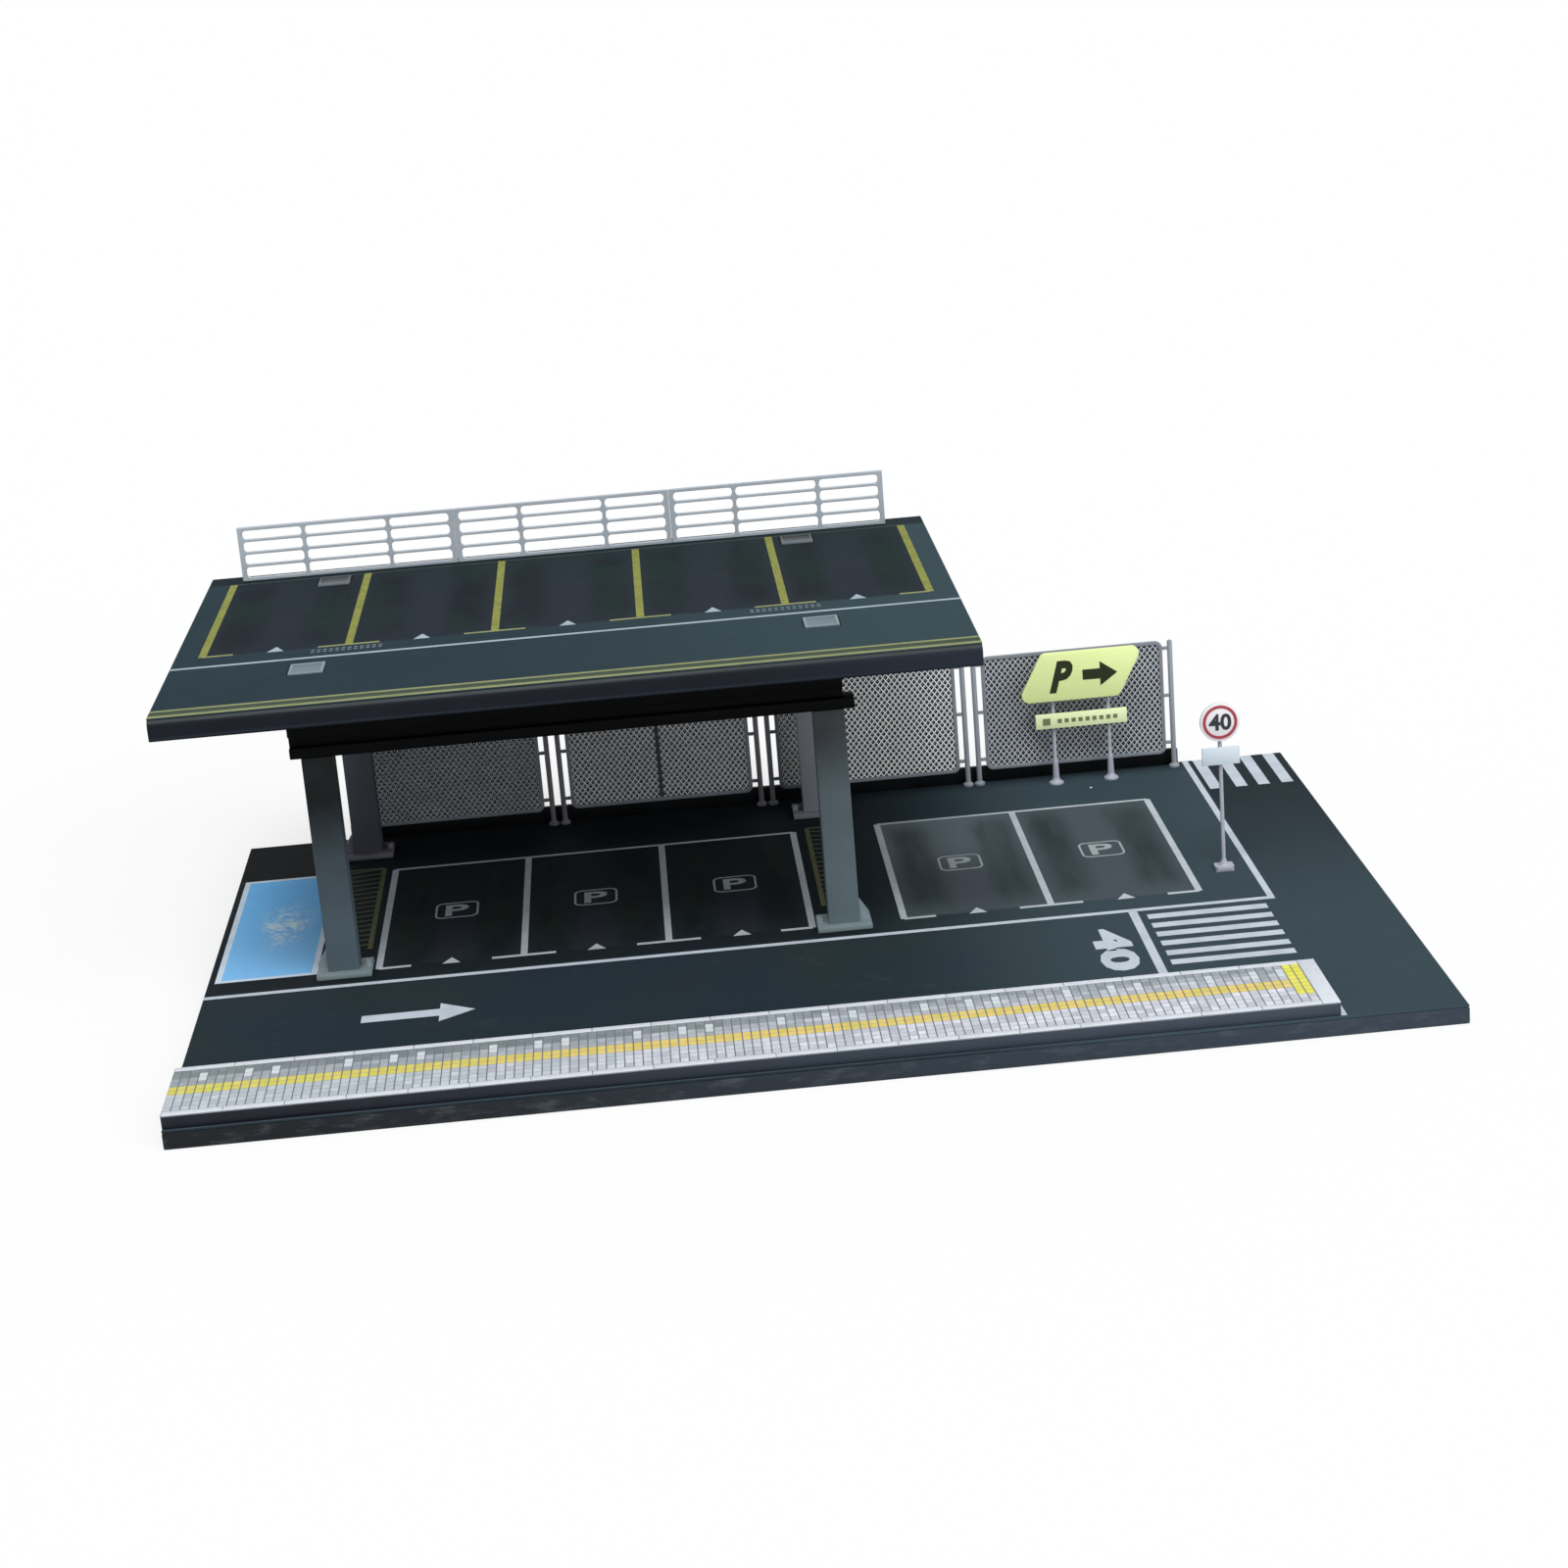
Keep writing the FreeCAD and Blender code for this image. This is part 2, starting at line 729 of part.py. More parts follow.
def make_net(number, shape):
    """Make the mesh inside a fence frame."""
    net = doc.addObject("Part::Feature", f"fence_net_{number}")
    net.Shape = shape.copy()
    place(net, frame_left(number) + size("fence_bar") + size("net_play"),
          fence_y - size("net_thick") / 2,
          lot_top + size("fence_low") + size("fence_bar") + size("net_play"))
    return net


def make_clips(number):
    """Make the six short clips that join a fence frame to its posts."""
    reach = size("fence_gap") - size("post_radius")
    starts = {"left": frame_left(number) - reach, "right": frame_left(number) + frame_length}
    clips = []
    for side, x in starts.items():
        for level in range(CLIPS_PER_SIDE):
            z = lot_top + size("clip_low") + level * size("clip_pitch") - size("clip_height") / 2
            clips.append(box(f"clip_{number}_{side}_{level}", reach, size("clip_depth"),
                             size("clip_height"), x, fence_y - size("clip_depth") / 2, z))
    group = doc.addObject("Part::Compound", f"fence_clips_{number}")
    group.Links = clips
    return group


def make_mid_bar():
    """Make the upright bar on the front of the net in one fence panel."""
    bar, depth = size("fence_bar"), size("mid_bar_depth")
    middle = frame_left(BARRED_PANEL) + frame_length / 2
    return box("fence_mid_bar", bar, depth, frame_height - 2 * bar, middle - bar / 2,
               fence_y - size("net_thick") / 2 - depth, lot_top + size("fence_low") + bar)


def make_rear_strip():
    """Make the low strip that stands on the board's back edge behind the whole fence."""
    left = post_x(1, 0) - size("strip_overlap")
    right = post_x(FENCE_PANELS, 1) + size("strip_overlap")
    return box("rear_strip", right - left, size("strip_depth"), size("strip_height"),
               left, board_back - size("strip_depth"), lot_top)


def make_pole(name, x, y, kind, top, sleeve):
    """Make a sign pole with its peg below the lot, a foot and a stouter sleeve."""
    peg, thin = size("peg_radius"), size("pole_radius")
    foot_radius, foot_height = size(f"{kind}_foot_radius"), size(f"{kind}_foot_height")
    profile = [
        (0, -size("peg_length")), (peg, -size("peg_length")), (peg, 0), (foot_radius, 0),
        (foot_radius, size(f"{kind}_foot_rim")), (size("sleeve_low_radius"), foot_height),
        (size("sleeve_radius"), sleeve), (thin, sleeve + thin), (thin, top), (0, top),
    ]
    pole = turned(name, profile)
    place(pole, x, y, lot_top)
    return pole


def make_parking_sign():
    """Make the slanted sign board, its small plate and their two poles."""
    back = board_sign_y - size("pole_radius")
    panel = new_body("parking_sign_board")
    half, lean = size("board_sign_length") / 2, size("board_sign_slant") / 2
    high = size("board_sign_height")
    outline = [(-half - lean, 0), (half - lean, 0), (half + lean, high), (-half + lean, high)]
    pad(panel, closed_sketch(panel, "parking_sign_outline", "XZ_Plane", [outline]),
        size("board_sign_thick"), both_ways=True)
    round_edges(panel, size("board_sign_corner"), runs_along_y)
    place(panel, board_left + size("board_sign_left_gap"), back - size("board_sign_thick") / 2,
          lot_top + size("board_sign_low"))
    plate = box("parking_sign_plate", size("plate_length"), size("plate_thick"), size("plate_height"),
                board_left + size("plate_left_gap") - size("plate_length") / 2,
                back - size("plate_thick"), lot_top + size("plate_low"))
    poles = [
        make_pole(f"parking_sign_pole_{word}", *sign_pegs[f"parking_{word}"], "pole",
                  size("pole_height"), size("sleeve_height"))
        for word in ("left", "right")
    ]
    return [panel, plate] + poles


def make_speed_sign():
    """Make the round sign, the plate under it and their pole."""
    back = disc_y - size("pole_radius")
    disc = new_body("speed_sign_disc")
    radius, thick = size("disc_radius"), size("disc_thick")
    sketch = disc.newObject("Sketcher::SketchObject", "speed_sign_circle")
    sketch.AttachmentSupport = [(origin_plane(disc, "XZ_Plane"), "")]
    sketch.MapMode = "FlatFace"
    circle = Part.Circle(FreeCAD.Vector(0, 0, 0), FreeCAD.Vector(0, 0, 1), radius.value)
    edge = sketch.addGeometry(circle, False)
    sketch.addConstraint(Sketcher.Constraint("Coincident", edge, 3, -1, 1))
    ring = sketch.addConstraint(Sketcher.Constraint("Radius", edge, radius.value))
    sketch.setExpression(f"Constraints[{ring}]", radius.text)
    pad(disc, sketch, thick, both_ways=True)
    place(disc, disc_x, back - thick / 2, lot_top + size("disc_height"))
    tag = box("speed_sign_plate", size("tag_length"), size("tag_thick"), size("tag_height"),
              disc_x - size("tag_length") / 2, back - size("tag_thick"), lot_top + size("tag_low"))
    pole = make_pole("speed_sign_pole", *sign_pegs["speed"], "disc", size("disc_pole_top"),
                     size("disc_foot_height") + size("pole_radius"))
    half_length, half_width = size("disc_base_length") / 2, size("disc_base_width") / 2
    base = rectangle(-half_length, -half_width, half_length, half_width)
    pad(pole, closed_sketch(pole, "speed_sign_base", "XY_Plane", [base]), size("disc_base_thick"))
    round_edges(pole, size("disc_base_corner"), stands_at_a_corner)
    return [disc, tag, pole]


def make_everything():
    """Make every piece and return the ones that are kept."""
    pieces = make_board() + make_pavement()
    for corner in column_places:
        pieces += make_column(corner)
    pieces.append(make_beam("front_beam", frame_front_y))
    pieces.append(make_beam("rear_beam", frame_rear_y))
    pieces += [make_joist(number) for number in range(1, JOISTS + 1)]
    pieces += make_deck()
    pieces += [make_rail(number) for number in range(1, RAIL_PANELS + 1)]
    mesh = net_shape()
    for number in range(1, FENCE_PANELS + 1):
        pieces += make_posts(number)
        pieces += [make_frame(number), make_net(number, mesh), make_clips(number)]
    pieces += [make_mid_bar(), make_rear_strip()]
    return pieces + make_parking_sign() + make_speed_sign()


def write_pieces(pieces):
    """Check every feature and every piece, then write one file for each piece."""
    doc.recompute()
    for item in doc.Objects:
        if "Invalid" in item.State or "Error" in item.State:
            raise RuntimeError(f"{item.Label} did not rebuild: {item.State}")
    for piece in pieces:
        if piece.Shape.isNull() or not piece.Shape.isValid():
            raise RuntimeError(f"{piece.Label} has no valid shape")
    os.makedirs("parts", exist_ok=True)
    for piece in pieces:
        piece.Shape.exportStep(f"parts/{piece.Label}.step")
        box_size = piece.Shape.BoundBox
        print(f"{piece.Label}: {len(piece.Shape.Solids)} solid(s), {piece.Shape.Volume:.1f} mm3, "
              f"x {box_size.XMin:.2f} {box_size.XMax:.2f} y {box_size.YMin:.2f} {box_size.YMax:.2f} "
              f"z {box_size.ZMin:.2f} {box_size.ZMax:.2f}")


write_pieces(make_everything())
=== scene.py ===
"""Model parking garage: a tabletop car park with a raised deck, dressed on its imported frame.

Lengths are in millimetres in the code and turned into metres when a mesh is finished. X runs to
the right along the road, Y to the back and Z up, from the middle of the board's underside.
"""
import logging
import math
from collections.abc import Iterable, Sequence
from dataclasses import dataclass, field
from enum import Enum
from functools import cache, cached_property, partial
from typing import Any

import bmesh
import bpy
from mathutils import Matrix, Vector


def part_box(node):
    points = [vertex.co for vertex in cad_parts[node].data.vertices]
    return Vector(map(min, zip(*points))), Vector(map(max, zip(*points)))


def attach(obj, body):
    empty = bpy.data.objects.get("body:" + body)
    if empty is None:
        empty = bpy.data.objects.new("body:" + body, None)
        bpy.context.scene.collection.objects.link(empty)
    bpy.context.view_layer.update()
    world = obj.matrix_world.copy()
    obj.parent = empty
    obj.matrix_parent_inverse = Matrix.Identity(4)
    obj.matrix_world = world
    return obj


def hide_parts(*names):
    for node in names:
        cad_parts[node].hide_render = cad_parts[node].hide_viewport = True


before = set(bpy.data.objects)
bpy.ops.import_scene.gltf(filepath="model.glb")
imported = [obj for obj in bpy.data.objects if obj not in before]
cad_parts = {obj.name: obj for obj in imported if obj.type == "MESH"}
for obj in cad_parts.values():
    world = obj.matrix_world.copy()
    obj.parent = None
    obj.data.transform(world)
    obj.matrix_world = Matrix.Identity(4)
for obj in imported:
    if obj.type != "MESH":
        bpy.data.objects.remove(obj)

MM = 0.001
PAINT = 0.05  # how far paint stands proud
UPRIGHT = Matrix.Rotation(math.pi / 2, 4, "X")
LOG = logging.getLogger("garage")

Point = tuple[float, float]
Spot = tuple[float, float, float]
Colour = tuple[float, float, float, float]
Row = tuple[float, ...]


class Body(Enum):
    """The bodies that pieces ride on."""

    BASE = "base"
    DECK = "deck"
    PARKING_SIGN = "parking_sign"
    SPEED_SIGN = "speed_sign"


class Slot(Enum):
    """The record's material slots."""

    BOARD = "board_black"
    LOT = "lot_print"
    WALK = "walk_core"
    PAVING = "paving_print"
    COLUMN = "column_grey"
    BEAM = "beam_black"
    HEAD = "head_grey"
    DECK = "deck_black"
    DECK_PRINT = "deck_print"
    RAIL = "rail_grey"
    FENCE = "fence_grey"
    YELLOW = "sign_yellow"
    POLE = "pole_grey"
    WHITE = "sign_white"


class Paver(Enum):
    """The kinds of paving slab, by material number, after the joints' own."""

    GREY = 1
    DARK = 2
    WHITE = 3
    YELLOW = 4
    LEMON = 5
    MID = 6


def tint(code: str) -> Colour:
    """Return a screen colour such as #2f3e4b as linear light.

    Args:
        code: Six hex digits after a hash.

    Returns:
        Red, green, blue and alpha.
    """
    parts = [int(code[at:at + 2], 16) / 255 for at in (1, 3, 5)]
    light = [part / 12.92 if part <= 0.04045 else ((part + 0.055) / 1.055) ** 2.4 for part in parts]
    return (light[0], light[1], light[2], 1.0)


class Sock:
    """A number that a node gives, open to Python arithmetic."""

    def __init__(self, graph: "Graph", output: bpy.types.NodeSocket) -> None:
        """Keep the socket with its graph."""
        self.graph, self.output = graph, output

    def __add__(self, other: "Sock | float") -> "Sock":
        """Return the sum."""
        return self.graph.math("ADD", self, other)

    def __sub__(self, other: "Sock | float") -> "Sock":
        """Return the difference."""
        return self.graph.math("SUBTRACT", self, other)

    def __rsub__(self, other: float) -> "Sock":
        """Return the difference, number first."""
        return self.graph.math("SUBTRACT", other, self)

    def __mul__(self, other: "Sock | float") -> "Sock":
        """Return the product."""
        return self.graph.math("MULTIPLY", self, other)

    def __truediv__(self, other: "Sock | float") -> "Sock":
        """Return the quotient."""
        return self.graph.math("DIVIDE", self, other)

    def __rtruediv__(self, other: float) -> "Sock":
        """Return the quotient, number first."""
        return self.graph.math("DIVIDE", other, self)

    def __gt__(self, other: "Sock | float") -> "Sock":
        """Return one where this is the greater."""
        return self.graph.math("GREATER_THAN", self, other)

    def __abs__(self) -> "Sock":
        """Return the size without the sign."""
        return self.graph.math("ABSOLUTE", self)

    __radd__, __rmul__ = __add__, __mul__


class Graph:
    """The node tree of a material or the world, built from Python expressions."""

    def __init__(self, owner: "bpy.types.Material | bpy.types.World") -> None:
        """Start with an empty tree.

        Args:
            owner: What the tree belongs to.
        """
        owner.use_nodes = True
        self.owner, self.tree = owner, owner.node_tree
        self.tree.nodes.clear()

    @cached_property
    def where(self) -> bpy.types.NodeSocket:
        """Return the place on the piece."""
        return self.node("ShaderNodeTexCoord").outputs["Object"]

    def node(self, kind: str, settings: dict[str, Any] | None = None,
             values: dict[str | int, Any] | None = None) -> bpy.types.Node:
        """Add one node, its settings first and then its sockets.

        Args:
            kind: The node's type.
            settings: Properties of the node.
            values: Numbers, colours or links for its sockets, by name or index.

        Returns:
            The node.
        """
        made = self.tree.nodes.new(kind)
        for name, setting in (settings or {}).items():
            setattr(made, name, setting)
        for key, value in (values or {}).items():
            value = value.output if isinstance(value, Sock) else value
            if isinstance(value, bpy.types.NodeSocket):
                self.tree.links.new(value, made.inputs[key])
            else:
                made.inputs[key].default_value = value
        return made

    def math(self, operation: str, *values: "Sock | float") -> Sock:
        """Return what a Math node makes of the values."""
        made = self.node("ShaderNodeMath", {"operation": operation}, dict(enumerate(values)))
        return Sock(self, made.outputs[0])

    def vector(self, operation: str, *values: Any) -> bpy.types.NodeSocket:
        """Return what a Vector Math node makes of the values."""
        made = self.node("ShaderNodeVectorMath", {"operation": operation}, dict(enumerate(values)))
        return made.outputs[0]

    def mix(self, share: Any, low: Any, high: Any) -> bpy.types.NodeSocket:
        """Return one colour turned into another by a share. A code stands for its colour."""
        low, high = (tint(side) if isinstance(side, str) else side for side in (low, high))
        return self.node("ShaderNodeMix", {"data_type": "RGBA"}, {0: share, 6: low, 7: high}).outputs[2]

    def coats(self, colour: Any, *coats: tuple[Any, Any]) -> Any:
        """Lay coats over a colour, one after another.

        Args:
            colour: The ground, as a code or a link.
            coats: Each coat's share and its colour.

        Returns:
            The last coat's colour.
        """
        for share, coat in coats:
            colour = self.mix(share, colour, coat)
        return colour

    def noise(self, grain: float, detail: float = 2.0, stretch: Spot = (1.0, 1.0, 1.0),
              rough: float = 0.5) -> Sock:
        """Return a noise from 0 to 1.

        Args:
            grain: The size of its features, in mm.
            detail: How many finer layers it has.
            stretch: How far the features are drawn out along each axis.
            rough: How strong the finer layers are.

        Returns:
            The noise.
        """
        where = self.where
        if stretch != (1.0, 1.0, 1.0):
            shrink = tuple(1 / part for part in stretch)
            where = self.node("ShaderNodeMapping", None, {"Vector": where, "Scale": shrink}).outputs[0]
        made = self.node("ShaderNodeTexNoise", None, {
            "Vector": where, "Scale": 1 / (grain * MM), "Detail": detail, "Roughness": rough})
        return Sock(self, made.outputs[0])

    def axis(self, name: str) -> Sock:
        """Return the place along X, Y or Z, in mm."""
        split = self.node("ShaderNodeSeparateXYZ", None, {0: self.where})
        return Sock(self, split.outputs[name]) / MM

    def rise(self, value: Sock, low: float, high: float) -> Sock:
        """Return 0 below low and 1 above high, with a smooth rise between them."""
        made = self.node("ShaderNodeMapRange", {"interpolation_type": "SMOOTHSTEP"},
                         {0: value, 1: low, 2: high})
        return Sock(self, made.outputs[0])

    def within(self, value: Sock, low: float, high: float, soft: float) -> Sock:
        """Return 1 between low and high, with soft ends."""
        return self.rise(value, low - soft, low + soft) * (1 - self.rise(value, high - soft, high + soft))

    def seen(self) -> Sock:
        """Find where the camera, a gloss or a clear piece sees the surface.

        Returns:
            One there, and nothing elsewhere.
        """
        rays = self.node("ShaderNodeLightPath")
        direct, gloss, through = (Sock(self, rays.outputs[name]) for name in (
            "Is Camera Ray", "Is Glossy Ray", "Is Transmission Ray"))
        return self.math("MAXIMUM", self.math("MAXIMUM", direct, gloss), through)

    def blend(self, end: str, share: Sock, low: bpy.types.Node, high: bpy.types.Node) -> None:
        """Finish the tree with one shader turned into another by a share."""
        mixed = self.node("ShaderNodeMixShader", None, {0: share, 1: low.outputs[0], 2: high.outputs[0]})
        self.node(end, None, {0: mixed.outputs[0]})

    def close(self, colour: Any, roughness: Any, bump: Sock | None = None, depth: float = 0.0,
              **fixed: float) -> bpy.types.Material:
        """Finish the material with its shader.

        Args:
            colour: The base colour, as a value or a link.
            roughness: The roughness, as a value or a link.
            bump: The height that the surface's relief follows.
            depth: The relief's height, in mm.
            fixed: Other sockets' numbers, with underscores for spaces.

        Returns:
            The material.
        """
        values: dict[str | int, Any] = {"Base Color": colour, "Roughness": roughness}
        values |= {name.replace("_", " "): number for name, number in fixed.items()}
        if bump is not None:
            relief = self.node("ShaderNodeBump", None, {"Height": bump, "Distance": depth * MM})
            values["Normal"] = relief.outputs[0]
        shader = self.node("ShaderNodeBsdfPrincipled", None, values)
        self.node("ShaderNodeOutputMaterial", None, {0: shader.outputs[0]})
        return self.owner


@dataclass(frozen=True)
class Finish:
    """What a surface is made of and how it looks."""

    name: str
    slot: Slot
    colour: str

    def build(self, graph: Graph) -> bpy.types.Material:
        """Build the shader, each kind of finish in its own way."""
        raise NotImplementedError

    @cache
    def material(self) -> bpy.types.Material:
        """Return the material, made once."""
        return self.build(Graph(bpy.data.materials.new(self.name)))


@dataclass(frozen=True)
class Moulded(Finish):
    """Satin plastic or painted card: faint clouding, fine grain and worn light flecks."""

    light: str = "#8a9298"
    cloud: float = 9.0
    cloud_share: float = 0.25
    fleck: float = 0.05
    roughness: float = 0.5
    specular: float = 0.35
    relief: float = 0.02
    bands: tuple[tuple[str, float, float, str], ...] = ()

    def build(self, graph: Graph) -> bpy.types.Material:
        """Build the shader, each band turning the colour into its own between two places on an axis.

        Args:
            graph: The material's tree.

        Returns:
            The material.
        """
        cloud = graph.rise(graph.noise(self.cloud, 3), 0.3, 0.75)
        grain = graph.noise(0.35, 2)
        fleck = graph.rise(graph.noise(1.3, 3, rough=0.7), 0.72 - self.fleck, 0.8)
        bands = ((graph.rise(graph.axis(axis), low, high), shade) for axis, low, high, shade in self.bands)
        colour = graph.coats(self.colour, *bands, (cloud * self.cloud_share, self.light),
                             (fleck * 0.5, self.light))
        rough = self.roughness - 0.08 + cloud * 0.1 + grain * 0.08
        return graph.close(colour, rough, grain, self.relief, Specular_IOR_Level=self.specular)


@dataclass(frozen=True)
class Asphalt(Finish):
    """A printed road surface: dark ground, cloudy patches, tyre marks in the bays and fine grit, with
    painted shade and painted light.
    """

    patch: str = "#293436"
    # Lighter ground from right_from to right_to: on the lot this is painted light on the open right, beyond
    # the deck's shade.
    right: str = "#3b4a51"
    grit: str = "#5a666c"
    # Bay print left of right_from and right of it: on the lot the left copy is darker, painted shade on the
    # bays under the deck, and the right copy lighter.
    bay: str = "#1e252b"
    bay_right: str = "#4e595f"
    tyre: str = "#14181b"
    moss: str = "#222c26"
    bay_starts: tuple[float, float] = (-106.4, 28.5)
    bay_pitches: tuple[float, float] = (37.1, 38.25)
    bay_depth: tuple[float, float] = (-8.0, 69.0)
    bay_ends: tuple[float, float] = (-106.0, 105.0)
    bay_gap: tuple[float, float] = (4.9, 28.5)
    # Painted light: a light colour laid over the back left of the right bays, where the deck's shadow
    # falls.
    lift: str = "#77848c"
    painted_light_share: float = 0.7
    right_from: float = 20.0
    right_to: float = 78.0
    middle: str = "#4a4e58"
    tyre_share: float = 0.62
    # Painted shade over the ground under the deck.
    shade_share: float = 0.8
    shade: str = "#1a2024"
    # Darker towards the back from rear, starting rear_shift further back on the right: on the lot this is
    # painted shade at the fence's foot.
    rear: tuple[float, float] = (70.0, 84.0)
    rear_shift: float = 19.0
    rear_share: float = 0.9
    rear_colour: str = "#151b1f"
    # Painted shade: near black in the back left corner, under the deck.
    corner: str = "#07090b"
    corner_to: tuple[float, float] = (-124.0, -118.0)
    far: str = "#1f272d"
    far_from: float = 121.7
    specular: float = 0.012

    def build(self, graph: Graph) -> bpy.types.Material:
        """Build the shader, from the ground up to the grit.

        Args:
            graph: The material's tree.

        Returns:
            The material.
        """
        rise, within = graph.rise, graph.within
        across, deep = graph.axis("X"), graph.axis("Y")
        wide, mid = graph.noise(46, 2), graph.noise(9, 4, rough=0.6)
        streak = graph.noise(5.5, 3, (1.0, 6.0, 1.0), 0.55)
        speck = rise(graph.noise(0.55, 2, rough=0.7), 0.62, 0.74)
        is_right = across > self.right_from
        start, pitch = (left + is_right * (right - left)
                        for left, right in (self.bay_starts, self.bay_pitches))
        place = graph.math("FRACT", (across - start) / pitch)
        track = rise(abs(abs(place - 0.5 + (streak - 0.5) * 0.1) - 0.3) * -1.0, -0.22, -0.05)
        front, back = self.bay_depth
        inside = (within(deep, front, back, 1.0) * within(across, *self.bay_ends, 1.0)
                  * (1 - within(across, *self.bay_gap, 0.5)))
        far = rise(across, self.far_from, self.far_from + 2) * rise(deep, -40.0, 80.0)
        # painted shade under the deck
        under = within(deep, -16.5, 110.0, 1.0) * (1 - rise(across, 14.0, 34.0))
        # painted light mask: the back left of the right bays, in the deck's shadow
        shaded = rise(deep, 5.0, 50.0) * (1 - rise(across, 46.0, 76.0)) * is_right
        pale = (0.15 + (1 - rise(deep, front + 20, front + 55)) * 0.35) * (0.3 + is_right * 0.7)
        worn = (inside * track * (0.65 + rise(streak, 0.35, 0.65) * 0.35)
                * within(deep, front + 6, back - 5, 9.0))
        # painted shade at the fence's foot, on the lot
        behind = (rise(deep - rise(across, -40.0, 40.0) * self.rear_shift, *self.rear)
                  * (1 - rise(across, self.far_from, self.far_from + 1)))
        # painted shade in the back left corner, under the deck
        corner = rise(deep, self.rear[0], self.rear[0] + 1) * (1 - rise(across, *self.corner_to))
        ground = graph.coats(
            self.colour, (rise(wide, 0.35, 0.7) * 0.8, self.patch),
            # painted light: lighter towards the right
            (rise(across, self.right_from, self.right_to) * (0.75 + mid * 0.4), self.right),
            (far * 0.9, self.far), (under * self.shade_share, self.shade),
            # bay print: on the lot, painted shade darkens the bays under the deck
            (inside * 0.9, graph.mix(is_right, self.bay, self.bay_right)),
            (inside * shaded * self.painted_light_share, self.lift),
            (inside * (1 - track) * pale, self.middle),
            (worn * self.tyre_share,
             graph.mix(rise(wide * 0.6 + streak * 0.4, 0.42, 0.58), self.tyre, self.moss)),
            (speck * (0.12 + worn * 0.1), self.grit), (rise(mid, 0.55, 0.8) * 0.08, self.grit),
            (behind * self.rear_share, self.rear_colour), (corner * self.shade_share, self.corner))
        return graph.close(ground, 0.56 + mid * 0.14, graph.noise(0.3, 1) + speck * 0.6, 0.035,
                           Specular_IOR_Level=self.specular)


@dataclass(frozen=True)
class LinePaint(Finish):
    """Printed line paint: a flat colour broken by grit and worn spots."""

    worn: str = "#7d858a"
    wear: float = 0.35

    def build(self, graph: Graph) -> bpy.types.Material:
        """Build the shader.

        Args:
            graph: The material's tree.

        Returns:
            The material.
        """
        spots = graph.rise(graph.noise(0.8, 3, rough=0.75), 0.66 - self.wear * 0.3, 0.78)
        cloud = graph.rise(graph.noise(6, 2), 0.35, 0.75)
        colour = graph.coats(self.colour, (cloud * 0.25, self.worn), (spots * self.wear, self.worn))
        return graph.close(colour, 0.5 + spots * 0.2, graph.noise(0.4, 2), 0.02, Specular_IOR_Level=0.03)


@dataclass(frozen=True)
class BluePaint(Finish):
    """The blue bay: pale at the road and darker behind, a painted shade under the deck, with a cloudy white
    mark in the middle.
    """

    deep: str = "#73c2ff"
    pale: str = "#88caff"
    chalk: str = "#e9f9ff"
    middle: Point = (-133.5, 31.0)
    reach: Point = (8.0, 20.0)

    def build(self, graph: Graph) -> bpy.types.Material:
        """Build the shader.

        Args:
            graph: The material's tree.

        Returns:
            The material.
        """
        across, deep = graph.axis("X"), graph.axis("Y")
        cloud, fine = graph.noise(7, 4, rough=0.6), graph.noise(1.5, 3, rough=0.7)
        far_x, far_y = (across - self.middle[0]) / self.reach[0], (deep - self.middle[1]) / self.reach[1]
        ring = graph.math("SQRT", far_x * far_x + far_y * far_y)
        chalk = (1 - graph.rise(ring, 0.35, 1.15)) * graph.rise(fine * 0.6 + cloud * 0.5, 0.5, 0.72)
        # painted shade: the blue darkens from the road towards the back, under the deck
        colour = graph.coats(self.pale, (graph.rise(deep, -8.0, 62.0), self.deep),
                             (graph.rise(cloud, 0.4, 0.7) * 0.4, self.colour), (chalk * 0.9, self.chalk))
        return graph.close(colour, 0.5, graph.noise(0.5, 2), 0.02, Specular_IOR_Level=0.03)


@dataclass(frozen=True)
class Stone(Finish):
    """Printed paving: every tile has its own tone, with mottling."""

    dark: str = "#9a9f9f"
    pitch: Point = (2.6, 2.9)
    origin: Point = (-150.0, -98.9)
    spread: float = 0.6
    warm: str = "#d8dcd8"
    warm_from: float = 400.0
    hint: str = "#dfe3e8"

    def build(self, graph: Graph) -> bpy.types.Material:
        """Build the shader.

        Args:
            graph: The material's tree.

        Returns:
            The material.
        """
        origin, pitch = ([part * MM for part in pair] for pair in (self.origin, self.pitch))
        place = graph.vector("SUBTRACT", graph.where, (*origin, -1.0))
        cell = graph.vector("FLOOR", graph.vector("DIVIDE", place, (*pitch, 10.0)))
        chance = Sock(graph, graph.node("ShaderNodeTexWhiteNoise", None, {0: cell}).outputs[0])
        mottle = graph.rise(graph.noise(1.1, 3, rough=0.7), 0.35, 0.7)
        along = graph.rise(graph.axis("X"), self.warm_from - 130, self.warm_from + 20)
        veins = graph.rise(graph.noise(5, 3, (2.0, 1.0, 1.0)), 0.4, 0.65)
        colour = graph.coats(self.colour, (along, self.warm), (veins * 0.4, self.hint),
                             (chance * self.spread, self.dark), (mottle * 0.3, self.dark))
        return graph.close(colour, 0.6, graph.noise(0.5, 3), 0.03, Specular_IOR_Level=0.2)


